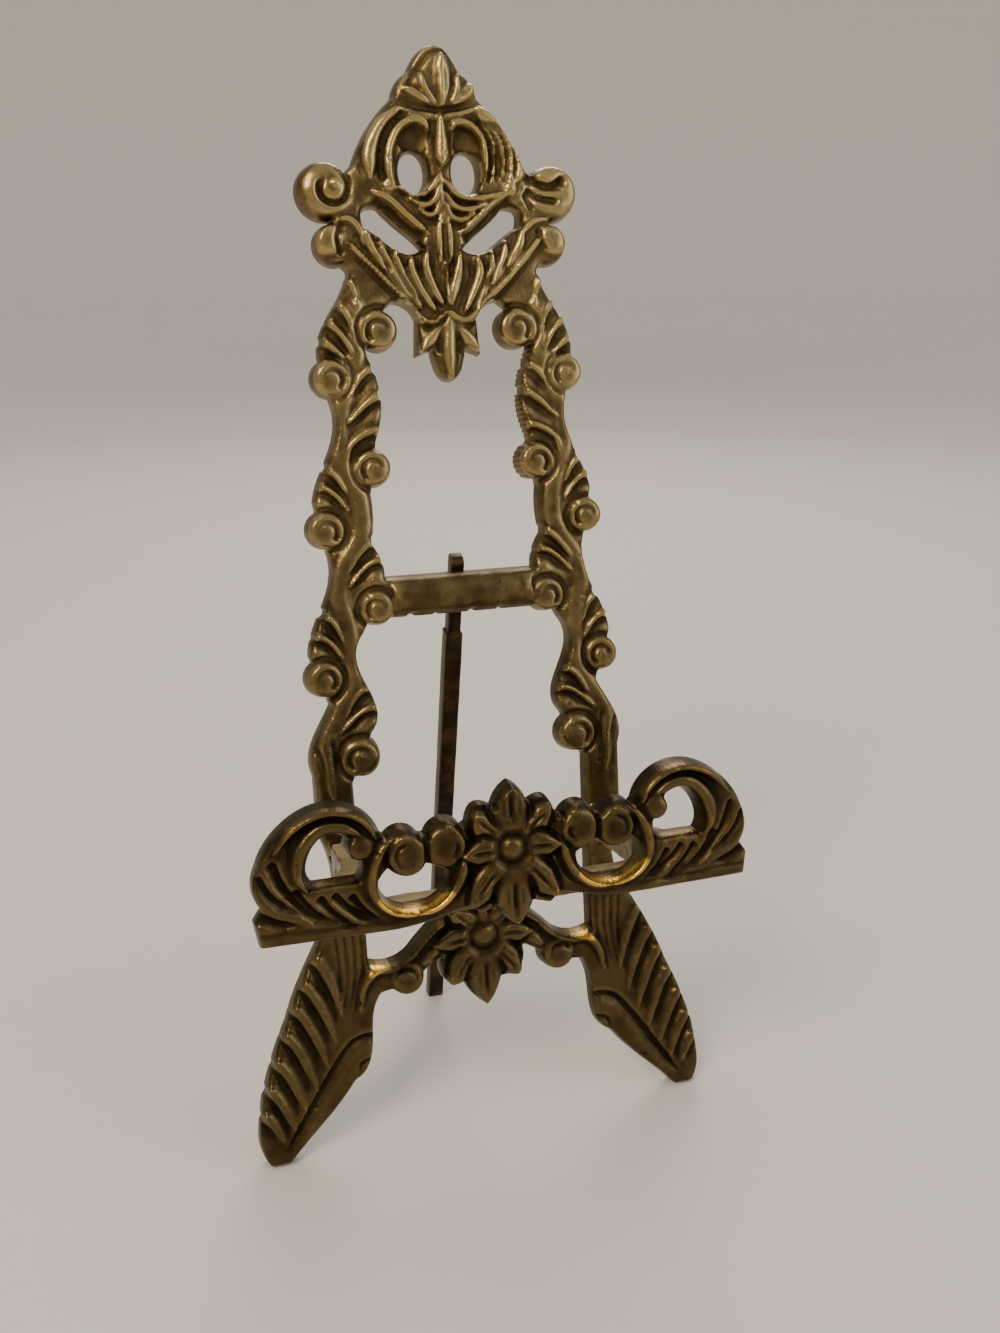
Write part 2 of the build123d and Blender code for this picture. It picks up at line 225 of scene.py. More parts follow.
class Relief:
    """Maps over one casting: inside, the distance in from its outline; high, its front; the stroke map, its polish
    and dulling, with painted highlight and painted shade in it.

    Strokes are given for the right-hand half, in millimetres; with side = -1 they are drawn on the left.
    """

    def __init__(self, node, cut, step, margin=2.0):
        points = node_points(node)
        self.step = step
        self.side = 1
        self.low = points[:, :2].min(0) - margin
        size = np.ceil((points[:, :2].max(0) + margin - self.low) / step).astype(int)
        self.u = self.low[0] + step * np.arange(size[0])
        self.t = self.low[1] + step * np.arange(size[1])
        self.inside = self.outline_distance(self.section(node, points, cut), reach=6.0)
        self.high = np.zeros(self.inside.shape)
        self.wear_and_painted_light = np.zeros(self.inside.shape)

    @staticmethod
    def section(node, points, cut):
        """Segments where the node's triangles cross the plane w = cut."""
        mesh = NODES[node].data
        mesh.calc_loop_triangles()
        corners = points[np.array([tri.vertices for tri in mesh.loop_triangles])]
        above = corners[:, :, 2] > cut
        segments = []
        for tri in corners[(above.sum(1) % 3) != 0]:
            ends = []
            for a, b in ((0, 1), (1, 2), (2, 0)):
                if (tri[a, 2] > cut) != (tri[b, 2] > cut):
                    k = (cut - tri[a, 2]) / (tri[b, 2] - tri[a, 2])
                    ends.append(tri[a, :2] + k * (tri[b, :2] - tri[a, :2]))
            segments.append(ends)
        return np.array(segments)

    def outline_distance(self, segments, reach):
        """Signed distance to the outline, positive inside and held to reach."""
        shape = (len(self.u), len(self.t))
        distance = np.full(shape, reach)
        toggles = np.zeros(shape, int)
        for a, b in segments:
            window = self.window(np.minimum(a, b) - reach, np.maximum(a, b) + reach)
            p = self.grid(window) - a
            d = b - a
            k = np.clip((p @ d) / max(d @ d, 1e-9), 0, 1)
            near = np.linalg.norm(p - k[..., None] * d, axis=-1)
            distance[window] = np.minimum(distance[window], near)
            low, high = sorted((a[1], b[1]))
            rows = np.nonzero((self.t > low) & (self.t <= high))[0]
            if len(rows):
                cross = a[0] + (self.t[rows] - a[1]) * d[0] / d[1]
                columns = np.clip(np.ceil((cross - self.low[0]) / self.step).astype(int), 0, shape[0] - 1)
                np.add.at(toggles, (columns, rows), 1)
        solid = np.cumsum(toggles, axis=0) % 2 == 1
        return np.where(solid, distance, -distance)

    def window(self, low, high):
        """The slices of the maps that cover a rectangle."""
        (u0, t0), (u1, t1) = low, high
        if self.side < 0:
            u0, u1 = -u1, -u0
        start = np.clip(((np.array((u0, t0)) - self.low) / self.step).astype(int), 0, None)
        stop = ((np.array((u1, t1)) - self.low) / self.step).astype(int) + 2
        return slice(start[0], stop[0]), slice(start[1], stop[1])

    def grid(self, window):
        """Right-hand coordinates of the cells in a window."""
        return np.stack(np.meshgrid(self.side * self.u[window[0]], self.t[window[1]], indexing="ij"), -1)

    def around(self, centre, radius):
        """The window round a centre and the cells' distances from it, in radii."""
        window = self.window(np.subtract(centre, radius), np.add(centre, radius))
        return window, np.linalg.norm(self.grid(window) - centre, axis=-1) / radius

    def along(self, points, reach):
        """For the cells near a curve: window, distance, share of its length, and which lie below it."""
        path = smooth_path(points)
        window = self.window(path.min(0) - reach, path.max(0) + reach)
        cells = self.grid(window)
        best = np.full(cells.shape[:2], 1e9)
        share = np.zeros(cells.shape[:2])
        below = np.zeros(cells.shape[:2], bool)
        for k, p in enumerate(path):
            d = np.hypot(cells[..., 0] - p[0], cells[..., 1] - p[1])
            nearer = d < best
            best = np.where(nearer, d, best)
            share = np.where(nearer, k / (len(path) - 1), share)
            below = np.where(nearer, cells[..., 1] < p[1], below)
        return window, best, share, below

    def raise_to(self, window, height, softness=0.3):
        """Smooth maximum of the front and a new height."""
        old = self.high[window]
        share = np.clip(0.5 + 0.5 * (height - old) / softness, 0, 1)
        self.high[window] = old + (height - old) * share + 0.5 * softness * share * (1 - share)

    def ridge(self, points, width, top, floor=3.4, ends=(0.35, 0.35), power=2.0):
        """A rounded ridge along a curve, narrowed over a share of its length at each end."""
        window, d, share, _ = self.along(points, width)
        half = 0.5 * width * np.sqrt(np.clip(tapered(share, ends), 0.04, 1))
        height = floor + (top - floor) * np.sqrt(np.clip(1 - (d / half) ** power, 0, 1))
        self.raise_to(window, np.where(d < half, height, 0))

    def groove(self, points, width, depth, ends=(0.15, 0.35)):
        """A groove with rounded lips, fading over a share of its length at each end."""
        window, d, share, _ = self.along(points, width)
        across = np.clip(1 - d / (0.5 * width), 0, 1)
        self.high[window] -= depth * tapered(share, ends) * across ** 1.3

    def crease(self, points, depth=1.5, above=0.8, below=2.6, ends=(0.02, 0.4)):
        """Where one lobe laps over the next: steep above the line, a long rise below it."""
        window, d, share, under = self.along(points, below)
        fade = tapered(share, ends)
        reach = np.where(under, below, above) * (0.35 + 0.65 * fade)
        self.high[window] -= depth * fade * np.clip(1 - d / reach, 0, 1) ** 1.4

    def dome(self, centre, radius, top, floor=3.4, power=2.0):
        window, d = self.around(centre, radius)
        height = floor + (top - floor) * np.sqrt(np.clip(1 - d ** power, 0, 1))
        self.raise_to(window, np.where(d < 1, height, 0))

    def dip(self, centre, radius, depth):
        window, d = self.around(centre, radius)
        self.high[window] -= depth * np.clip(1 - d ** 2, 0, 1)

    def notch(self, centre, radius):
        """Cuts a small bay into the outline."""
        reach = radius + 3
        window, d = self.around(centre, reach)
        self.inside[window] = np.minimum(self.inside[window], d * reach - radius)

    def patch(self, centre, radius):
        """Adds a disc of metal to the casting."""
        window, d = self.around(centre, radius)
        self.inside[window] = np.maximum(self.inside[window], radius * (1 - d))

    def wear_and_light_stroke(self, points, width, amount):
        """Polishes the metal along a stroke, or dulls it where the amount is negative; the same strokes put
        painted highlights on the ledge's rims and the rail arms' tops, and painted shade over the crossbar.
        """
        window, d, share, _ = self.along(points, width)
        across = np.clip(1.6 * (1 - 2 * d / width), 0, 1)
        self.wear_and_painted_light[window] += amount * across * tapered(share, (0.15, 0.15))

    def swell(self, level, crown, reach):
        """The ground of the casting, crowned inwards from its outline."""
        rise = np.clip(self.inside / reach, 0, 1)
        self.high = np.maximum(self.high, level + crown * np.sqrt(rise * (2 - rise)))

    def roughen(self, height, seed):
        """Sand-cast unevenness: soft lumps of two sizes and scattered pits, the same every run."""
        chance = np.random.default_rng(seed)
        for size, share in ((3.2, 0.8), (1.0, 0.2)):
            lumps = blurred(chance.standard_normal(self.high.shape), size / self.step / 2)
            self.high += height * share * lumps / lumps.std()
        wide, tall = len(self.u), len(self.t)
        pits = wide * tall * self.step ** 2 / 90
        for _ in range(int(pits)):
            i, j = chance.integers(0, wide), chance.integers(0, tall)
            radius, depth = chance.uniform(0.35, 0.8), chance.uniform(0.15, 0.4)
            if self.inside[i, j] > 1:
                self.dip((self.u[i], self.t[j]), radius, depth)

    def soften(self, reach):
        self.high = blurred(self.high, reach / self.step)

    def sample(self, field, points):
        """Bilinear values of a map at points."""
        p = (np.asarray(points) - self.low) / self.step
        i = np.clip(p.astype(int), 0, np.array(field.shape) - 2)
        f = p - i
        a, b = field[i[:, 0], i[:, 1]], field[i[:, 0] + 1, i[:, 1]]
        c, d = field[i[:, 0], i[:, 1] + 1], field[i[:, 0] + 1, i[:, 1] + 1]
        low = a + (b - a) * f[:, 0]
        high = c + (d - c) * f[:, 0]
        return low + (high - low) * f[:, 1]

    def contours(self, level, spacing):
        """Closed loops where inside equals level, with evenly spaced points."""
        field = self.inside - level
        links = {}
        solid = field > 0
        mixed = solid[:-1, :-1].astype(int) + solid[1:, :-1] + solid[:-1, 1:] + solid[1:, 1:]
        for i, j in zip(*np.nonzero((mixed > 0) & (mixed < 4))):
            corners = [(i, j), (i + 1, j), (i + 1, j + 1), (i, j + 1)]
            crossed = []
            for a, b in zip(corners, corners[1:] + corners[:1]):
                if solid[a] != solid[b]:
                    crossed.append((min(a, b), max(a, b)))
            pairs = [crossed] if len(crossed) == 2 else [crossed[:2], crossed[2:]]
            for one, other in pairs:
                links.setdefault(one, []).append(other)
                links.setdefault(other, []).append(one)
        loops = []
        while links:
            loop, key = [], next(iter(links))
            while key in links:
                loop.append(key)
                following = [k for k in links.pop(key) if k in links]
                key = following[0] if following else None
            points = []
            for a, b in loop:
                k = field[a] / (field[a] - field[b])
                points.append((self.u[a[0]] + k * (self.u[b[0]] - self.u[a[0]]),
                               self.t[a[1]] + k * (self.t[b[1]] - self.t[a[1]])))
            loops.append(self.metal_on_left(evenly(np.array(points), spacing)))
        return [loop for loop in loops if len(loop) > 7]

    def metal_on_left(self, loop):
        """The loop, turned round if need be so that the casting lies on its left."""
        along = np.roll(loop, -1, axis=0) - loop
        left = 0.3 * np.stack([-along[:, 1], along[:, 0]], -1) / np.linalg.norm(along, axis=1)[:, None]
        gain = self.sample(self.inside, loop + left) - self.sample(self.inside, loop - left)
        return loop if gain.sum() > 0 else loop[::-1]


def evenly(loop, spacing):
    """A closed loop resampled at about the given spacing."""
    closed = np.vstack([loop, loop[:1]])
    lengths = np.linalg.norm(np.diff(closed, axis=0), axis=1)
    total = np.concatenate([[0], np.cumsum(lengths)])
    count = max(3, int(total[-1] / spacing))
    at = np.linspace(0, total[-1], count, endpoint=False)
    return np.stack([np.interp(at, total, closed[:, 0]), np.interp(at, total, closed[:, 1])], -1)


# ---------------------------------------------------------------- mesh from a height map


def triangulate(points, loops):
    """Triangles over the points, whose loops come first; far corners and loop crossings are added last."""
    low, high = points.min(0) - 5, points.max(0) + 5
    points = np.vstack([points, low, high, (low[0], high[1]), (high[0], low[1])])
    edges = []
    start = 0
    for loop in loops:
        count = len(loop)
        edges += [(start + k, start + (k + 1) % count) for k in range(count)]
        start += count
    places, _, faces, origins = delaunay_2d_cdt([Vector(p) for p in points], edges, [], 0, 1e-5)[:4]
    added = [place for place, origin in zip(places, origins) if not origin]
    fresh = iter(range(len(points), len(points) + len(added)))
    number = np.array([origin[0] if origin else next(fresh) for origin in origins])
    plan = np.vstack([points, np.array(added).reshape(-1, 2)])
    return plan, number[np.array([face for face in faces if len(face) == 3])]


def offset_grid(relief, spacing, inset):
    """Points in staggered rows, kept where the casting is more than inset from its outline."""
    u, t = np.arange(relief.low[0], relief.u[-1], spacing), np.arange(relief.low[1], relief.t[-1], spacing)
    grid = np.stack(np.meshgrid(u, t, indexing="ij"), -1)
    grid[1::2, :, 1] += 0.5 * spacing
    grid = grid.reshape(-1, 2)
    return grid[relief.sample(relief.inside, grid) > inset]


def surface(inside, high, settings):
    """Height of the front above the back: a drafted wall, a rounded shoulder, then the relief."""
    rim = np.clip((inside - RIM) / (settings.draft - RIM), 0, 1)
    over = np.clip((inside - settings.draft) / settings.shoulder, 0, 1)
    wall = np.minimum(settings.wall, high - 0.3)
    return rim * wall + np.sqrt(over * (2 - over)) * (high - wall)


def metal_only(relief, points, faces, outline):
    """The anticlockwise triangles left of the outline's edges, or well inside where they touch none."""
    following = np.full(len(points), -1)
    start = 0
    for loop in outline:
        count = len(loop)
        following[start:start + count] = start + np.roll(np.arange(count), -1)
        start += count
    turned_faces = np.roll(faces, -1, axis=1)
    left = (following[faces] == turned_faces).any(1)
    right = (following[turned_faces] == faces).any(1)
    deep = relief.sample(relief.inside, points[faces].mean(1)) > 3 * RIM
    return faces[left | (deep & ~right)]


def flat_side(relief, loops, inner, outline):
    """Points and triangles of one side of a casting, seen from the front."""
    points, faces = triangulate(np.vstack(loops + [inner]), loops)
    return points, metal_only(relief, points, faces, outline)


def without_doubles(triangles):
    """The triangles that occur once; where front and rear share one, both go."""
    _, same, times = np.unique(np.sort(triangles, axis=1), axis=0, return_inverse=True, return_counts=True)
    return triangles[times[same.ravel()] == 1]


def wear(relief, plan, heights, settings):
    """How worn each point is: high relief and the polishing strokes more, hollows and walls less; the strokes also
    carry painted highlight and painted shade.
    """
    worn = 0.5 + relief.sample(relief.high - blurred(relief.high, 1.1 / relief.step), plan)
    worn = np.where(relief.sample(relief.inside, plan) < settings.draft + 0.1, WALL_WEAR, worn)
    polished = np.clip(worn, 0, 1) + relief.sample(relief.wear_and_painted_light, plan)
    return np.where(heights > 0, polished, BACK_WEAR)


def casting_mesh(name, relief, back, spacing, settings):
    """A closed mesh: drafted walls, the sculpted front and a flat, slightly uneven back."""
    levels = (RIM, 0.55 * settings.draft, settings.draft, settings.draft + 0.45 * settings.shoulder)
    rings = [relief.contours(level, 0.7 * spacing) for level in levels]
    outline = rings[0]
    edge_count = sum(len(loop) for loop in outline)
    inner = offset_grid(relief, spacing, levels[-1] + 0.6 * spacing)
    front, front_faces = flat_side(relief, [loop for ring in rings for loop in ring], inner, outline)
    inside, high = relief.sample(relief.inside, front), relief.sample(relief.high, front)
    heights = surface(inside, high, settings)
    heights[:edge_count] = 0
    rear, rear_faces = flat_side(relief, outline, offset_grid(relief, 3 * spacing, spacing), outline)
    dents = [DENT * noise.noise(Vector((u, t, 0)) / 4) for u, t in rear[edge_count:]]
    # Both sides share the outline's points; the rear's own points follow the front's
    number = np.arange(len(rear))
    number[edge_count:] += len(front) - edge_count
    plan = np.vstack([front, rear[edge_count:]])
    heights = np.concatenate([heights, np.minimum(dents, 0)])
    triangles = without_doubles(np.vstack([front_faces, number[rear_faces][:, ::-1]]))
    used, triangles = np.unique(triangles, return_inverse=True)
    plan, heights = plan[used], heights[used]
    w = back + np.maximum(heights, -DENT)
    t = np.maximum(plan[:, 1], -w * tan(LEAN))
    points = to_world(plan[:, 0], t, w)
    return mesh_object(name, points, triangles.reshape(-1, 3), 60, wear(relief, plan, heights, settings))


def mesh_object(name, points, faces, sharp=40, worn=None):
    """A smooth-shaded object from points in metres; worn is kept as a point attribute."""
    mesh = bpy.data.meshes.new(name)
    mesh.from_pydata(np.asarray(points).tolist(), [], [[int(corner) for corner in face] for face in faces])
    if worn is not None:
        mesh.validate()
        mesh.attributes.new("worn", "FLOAT", "POINT").data.foreach_set("value", worn.astype(np.float32))
    work = bmesh.new()
    work.from_mesh(mesh)
    if worn is not None:
        # Closes the few slivers where a traced outline crosses itself
        bmesh.ops.holes_fill(work, edges=work.edges, sides=6)
    bmesh.ops.recalc_face_normals(work, faces=work.faces)
    obj = linked(name, work, mesh)
    shade(obj, sharp)
    return obj


def linked(name, work, mesh):
    """Writes a bmesh into a mesh and puts that in the scene as an object."""
    work.to_mesh(mesh)
    work.free()
    obj = bpy.data.objects.new(name, mesh)
    bpy.context.scene.collection.objects.link(obj)
    return obj


def shade(obj, sharp):
    """Smooth shading, with edges sharper than the angle in degrees kept crisp."""
    obj.data.shade_smooth()
    obj.data.set_sharp_from_angle(angle=radians(sharp))


# ---------------------------------------------------------------- frame relief

# The vine that winds down a stile
STEM = [
    (22.6, 214), (22.4, 208), (22.8, 202), (24.2, 196), (27, 190), (28.3, 184), (28, 178), (26.2, 172),
    (24.6, 167), (24.2, 161), (25.8, 156), (29.2, 151), (30.9, 145), (30, 139), (28.9, 133), (28.5, 127),
    (29.6, 121), (33.2, 115), (36, 109), (36.8, 102), (35.8, 94),
]
# Round ends of the vine's curls: across, up and radius
INNER_CURLS = [(17, 206.3, 5), (20.5, 174.3, 4.8), (21.8, 140.7, 4.6), (28.3, 104, 5.3)]
OUTER_CURLS = [(29.2, 195.5, 4.7), (33, 160.2, 4.7), (36, 124.3, 4.8)]
# Edges of lapped leaf lobes, from the tip in to the vine
LEAF_EDGES = [
    [(24.4, 218), (23, 214.6), (22.3, 210.5)], [(27.4, 212.6), (25, 208.6), (23.4, 204.4)],
    [(29.8, 208), (26.8, 204.6), (23.8, 199.8)], [(31.2, 203.4), (28, 200.8), (24.4, 195.8)],
    [(18.6, 197), (21.6, 194.8), (25, 190.4)], [(17.4, 190.8), (21.4, 188), (26.4, 183.6)],
    [(17.6, 182.2), (21.6, 181.4), (25.4, 178.8), (26.6, 175.2)],
    [(32.3, 174.4), (30.2, 171.8), (27.6, 167.8)], [(34.8, 169.8), (31.2, 168.2), (27.4, 163.6)],
    [(21.2, 156.4), (24.6, 153.6), (28.4, 149)], [(19.4, 151.6), (23.6, 150.2), (28.4, 145.4)],
    [(35.4, 139.6), (33, 136.6), (31, 132.4)], [(38.2, 134.2), (34.6, 132.6), (31.2, 128)],
    [(24.4, 121), (28, 118.8), (31.6, 113.4)], [(22.8, 115.4), (27.4, 114.6), (33.4, 109.6)],
]
# Edges of the lapped feathers down a foot, and the edge of the smooth blade inside them
FOOT_EDGES = [
    [(45.4, 53.6), (43.2, 49.4), (40.4, 42), (39.4, 36)],
    [(48.8, 47.4), (45.8, 42.4), (42.8, 35), (41.6, 29.6)],
    [(51.2, 41), (48.4, 36.2), (45.4, 28.8), (44.2, 23.6)],
    [(54, 34.2), (51.2, 29.6), (48.2, 22), (47, 17.4)],
    [(56.6, 27.2), (54, 22.8), (51.2, 15.8), (50.2, 12)],
    [(58.8, 20.2), (56.4, 16.2), (54, 10), (53.2, 7)],
    [(60.4, 13.2), (58.4, 10.2), (56.4, 5.4)],
]
FOOT_KNEE = [(30, 31.4), (33.4, 31.2), (37, 29.4), (42, 23), (47.6, 14.6), (52.6, 7), (55.6, 2.4)]


def sculpt_stile(relief):
    """A vine with lapped leaves, curls off both its sides and a plain length above the ledge."""
    relief.ridge(STEM, 5.6, 5.5, 3.9, ends=(0.02, 0.1), power=3)
    for points in LEAF_EDGES:
        relief.ridge([(u, t + 1.1) for u, t in points], 2.8, 5.9, 4.2, ends=(0.1, 0.5))
    for points in LEAF_EDGES:
        tip, following = np.array(points[0]), np.array(points[1])
        outward = (tip - following) / np.linalg.norm(tip - following)
        relief.crease(points, 1.4, 0.8, 3)
        relief.notch(tip + 1.4 * outward, 1.5)
    for curls, start, stop in ((INNER_CURLS, -60, 190), (OUTER_CURLS, 240, -10)):
        for u, t, radius in curls:
            relief.groove(arc((u, t), radius + 0.5, start + 40 * np.sign(start - stop), stop), 1.8, 1)
            relief.dome((u, t), radius, 5.9, 3.7, power=4)
            relief.groove(arc((u, t), 0.66 * radius, start, stop, 0.3 * radius), 1.9, 1.4, ends=(0.1, 0.6))
    for points in ([(39.4, 108.5), (37.9, 103), (37.4, 95)], [(35.2, 110), (34.6, 103), (34, 95)]):
        relief.groove(points, 1.8, 1.1, ends=(0.1, 0.6))
    relief.ridge([(35.3, 98), (35.4, 85), (34.6, 72), (36.2, 60)], 6, 5, 4, ends=(0.3, 0.2))


def sculpt_crossbar(relief):
    """A plain half-round bar, ragged along its lower edge and darkened all over with painted shade."""
    low, high = 137.6, 148.0
    window = relief.window((-17.6, low), (17.6, high))
    across = (relief.grid(window)[..., 1] - (low + high) / 2) / (high - low)
    relief.high[window] = 1.8 + 4.2 * np.sqrt(np.clip(1 - (1.96 * across) ** 2, 0, 1))
    relief.ridge([(-7, 146.4), (-1, 147), (6, 146.2)], 4, 4.6, 3)
    for u, radius in ((-13.2, 1.3), (-6.8, 0.9), (2.4, 1.2), (9.6, 1)):
        relief.notch((u, low - 0.5 * radius), radius)
    # Painted shade: a negative stroke over the whole bar darkens it
    relief.wear_and_light_stroke([(-18, 141.8), (0, 141.8), (18, 141.8)], 17, -0.2)


def sculpt_finial(relief):
    """A smooth hood over a small fan of leaves."""
    relief.ridge([(0.3, 256), (0.5, 262), (0.7, 270.4)], 12, 5.4, 3.2, ends=(0.1, 0.4))
    relief.groove([(-7.2, 258.2), (-6, 262), (-2.4, 266.6), (1, 268.6), (4.2, 266.4), (6.2, 262.4)],
                  2, 0.9)
    for points, width, top in (
        ([(1.2, 256.4), (1.5, 262), (1.3, 267.6)], 5.4, 6.5),
        ([(-0.4, 256.8), (-2.8, 260), (-3.8, 263.4)], 3, 6),
        ([(-1.8, 256.8), (-4.8, 258.8), (-7.6, 260.2)], 2.8, 5.8),
        ([(3.2, 256.8), (4.8, 259.8), (5.2, 263.4)], 2.4, 6),
        ([(4, 256.8), (7, 259.4), (9.2, 261.2)], 3.6, 6.1),
    ):
        relief.ridge(points, width, top, ends=(0.4, 0.3))
    for points in (
        [(-0.2, 257.6), (0.3, 261), (0.2, 265.2)],
        [(1.8, 257.6), (1.9, 262), (1.8, 266)],
        [(5.4, 258.2), (8.4, 260.6)],
    ):
        relief.groove(points, 0.9, 0.8, ends=(0.2, 0.3))


def sculpt_face(relief):
    """The mask-like middle: brow, eye sockets, nose, the column below and the chevron's pendant leaf."""
    relief.groove([(-9.8, 258), (-5, 256.2), (0.6, 255.5), (6, 256.2), (10.2, 258.2)], 1.5, 0.9)
    relief.ridge([(-10, 255.8), (-5, 254.4), (0.5, 253.8), (5, 254.6), (10, 256.2)], 2.6, 5.6, 4)
    nose = 0.3
    for side in (-1, 1):
        points = [(nose + reach * side, t) for reach, t in ((2.4, 252.6), (2.2, 248.6), (1.9, 244.6))]
        relief.groove(points, 1.6, 1.2)
        relief.dip((nose + 6.3 * side, 248.6), 3.8, 2.2)
    relief.ridge([(nose, 254.8), (nose, 250.6), (nose, 243)], 4.6, 7, ends=(0.6, 0.14))
    relief.ridge([(-0.2, 242.4), (-0.2, 237), (0, 230)], 1.6, 6.1, 4, ends=(0.15, 0.1))
    for u in (-1.2, 1.2):
        relief.ridge([(0.6 * u, 232.6), (1.1 * u, 228), (u, 221.6)], 2.3, 6.3, 3.6, ends=(0.35, 0.35))
    relief.ridge([(-0.1, 222), (-0.1, 217), (0, 211.4)], 1.5, 6.2, 3.6)
    relief.ridge([(0, 209), (-0.2, 202), (-0.2, 194.9)], 4.6, 6.2, 3.2, ends=(0.12, 0.35))


def sculpt_left_crest(relief):
    """The left arm has two broad smooth bands, its scroll winds in, and its rod is thin and sharp."""
    lid = [(2, 250.6), (4.2, 253), (7.2, 252.8), (10.4, 250.2), (12.2, 246), (12.4, 241.4), (11.4, 238.2)]
    relief.ridge(lid, 3, 6.5, 3.8, ends=(0.15, 0.15))
    relief.ridge([(9, 255.8), (14, 251), (16.6, 246), (16.8, 240.4)], 4.4, 6.1, 3.9, ends=(0.3, 0.2))
    relief.groove([(5.4, 255), (10.8, 252.8), (13.8, 248.2), (14.4, 242.6), (13.4, 238.2)],
                  2.2, 1.2, ends=(0.3, 0.1))
    relief.groove([(17.4, 249.6), (19, 245), (18.8, 240)], 1.8, 0.9, ends=(0.3, 0.2))
    relief.dome((12.6, 238.6), 2.2, 6.2)
    relief.dome((26.8, 237.6), 6.6, 6, 3.5, power=3)
    relief.groove(arc((26.2, 238), 4.8, 100, 420, 2.2, 15), 2.2, 2, ends=(0.15, 0.1))
    relief.dome((25.2, 238.8), 2, 6.6)
    relief.dome((27.6, 226.8), 4.3, 6.2, power=3)
    relief.groove([(24, 230.2), (25.6, 226.8), (24.6, 223)], 1.5, 1.5, ends=(0.1, 0.1))
    relief.ridge([(19.6, 225), (20.2, 229), (22.6, 231.2), (26.6, 230.6)], 2.2, 6.1, 3.6)
    leaves = (
        ([(4.4, 224.4), (5, 220.4), (3.6, 215.6), (0.9, 211.4)], 3.6),
        ([(8.4, 223.2), (8.4, 219.4), (6.4, 214.6), (3, 210.4)], 4),
        ([(12.2, 224.6), (11.6, 220.4), (9.6, 215.6), (6.4, 210.8)], 3.8),
        ([(15.8, 227.4), (14.8, 222.8), (12.2, 217.4), (9.2, 213.2)], 3.8),
        ([(18.8, 229), (17.8, 225), (14.8, 219.6)], 3.4),
    )
    sculpt_leaves(relief, leaves, gap=1.7, top=6.3, vein=(0.3, 0.6))
    rod = [(23, 225.8), (17.6, 220.2), (12.2, 214.6), (7.4, 209.4), (5.8, 208.1), (3.6, 207.9)]
    sculpt_rod(relief, rod, [(1.7, 209.3), (0, 210.4)], 1.7, 7)
    sculpt_swags(relief, [(0.5, 240.6), (2.8, 237.4), (6.2, 236.2), (11.4, 237.6)])


def sculpt_right_crest(relief):
    """The right arm is fluted, its scroll is cut by two crescents, and its rod is broad."""
    lid = [(2, 250.6), (4.6, 252.8), (7.8, 252.2), (10.2, 249.4), (11, 245), (10.4, 239.6)]
    relief.ridge(lid, 2.4, 6.3, 3.8, ends=(0.2, 0.15))
    relief.ridge([(9.6, 256), (14.8, 250.4), (17.6, 245), (17.4, 239.4)],
                 6.8, 6, 3.9, ends=(0.3, 0.1), power=3)
    for k in range(4):
        relief.groove([(8.4 + 1.5 * k, 254.2 - 0.2 * k), (11.6 + 1.8 * k, 249.8), (12.3 + 2.0 * k, 244.6),
                       (11.4 + 2.1 * k, 239.0 + 0.3 * k)], 1.6, 1.7, ends=(0.12, 0.12))
    relief.dome((16.8, 238.4), 2.4, 6.1)
    relief.dome((27.5, 237.8), 6.5, 6, 3.5, power=4)
    relief.crease([(21.4, 242.2), (23.6, 240), (26.8, 239.2), (30.4, 241.4)],
                  2.2, 0.7, 2.8, ends=(0.1, 0.1))
    relief.crease([(20.8, 238.6), (24, 236.6), (29, 235.8)], 1.9, 0.6, 2.4, ends=(0.1, 0.15))
    relief.crease([(20.4, 237.6), (22.4, 233.4)], 1.2, 0.6, 1.4, ends=(0.1, 0.1))
    relief.dome((27, 226.8), 4.3, 6.3, power=3)
    relief.groove([(23.4, 229.4), (23.8, 226.6), (25.2, 224.2)], 1.3, 1.5, ends=(0.1, 0.1))
    relief.ridge([(16.6, 223), (19.4, 228.2), (22.8, 231), (27.4, 231.4)], 2.2, 5.9, 3.6)
    leaves = (
        ([(3.6, 223.8), (3, 219.8), (1.8, 215.4), (0.8, 211.4)], 3.4),
        ([(7.6, 223.2), (8.4, 219), (6.6, 214), (3.8, 210)], 4.2),
        ([(11.4, 223.8), (11.4, 219.4), (9.4, 214.6), (6.6, 211)], 3.6),
        ([(15, 226.2), (14.2, 221.6), (11.2, 216)], 3.6),
        ([(19.4, 229.4), (18.4, 225.2), (15.2, 220)], 3.6),
    )
    sculpt_leaves(relief, leaves, gap=1.6, top=6.2, vein=(0.2, 0.4))
    rod = [(23.6, 227), (19, 221.8), (14.6, 217.2), (10, 213), (7, 210), (4.2, 208.2)]
    sculpt_rod(relief, rod, [(1.8, 208.8), (0, 210.4)], 2.4, 6.6)
    sculpt_swags(relief, [(0.5, 239.4), (4, 236), (9, 235.3), (15.2, 236.8)])


def sculpt_leaves(relief, leaves, gap, top, vein):
    """Leaves side by side along a limb: points and width of each, with a gap beside it and a vein on it."""
    for points, width in leaves:
        relief.groove([(u - 0.5 * width, t - 0.8) for u, t in points], gap, 1.1, ends=(0.2, 0.2))
        relief.ridge(points, width, top, 3.2, ends=(0.35, 0.3))
        relief.groove([(u + vein[0], t - vein[1]) for u, t in points[1:]], 1.1, 0.6, ends=(0.2, 0.6))


def sculpt_rod(relief, rod, tip, width, top):
    """A limb of the chevron with its turned-up tip, the shadowed web below it and half of the pendant."""
    relief.groove([(u - 0.6, t - 0.7 * width) for u, t in rod], 2.6, 1.3, ends=(0.1, 0.1))
    relief.ridge(rod + tip, width, top, ends=(0.02, 0.02))
    relief.ridge([(0.8, 207.4), (3.8, 204.8), (8, 200.4)], 4.2, 5.8, 3.2, ends=(0.25, 0.4))
    relief.crease([(1, 207.6), (2.4, 204), (2.8, 200.4)], 1.3, 0.6, 1, ends=(0.1, 0.1))


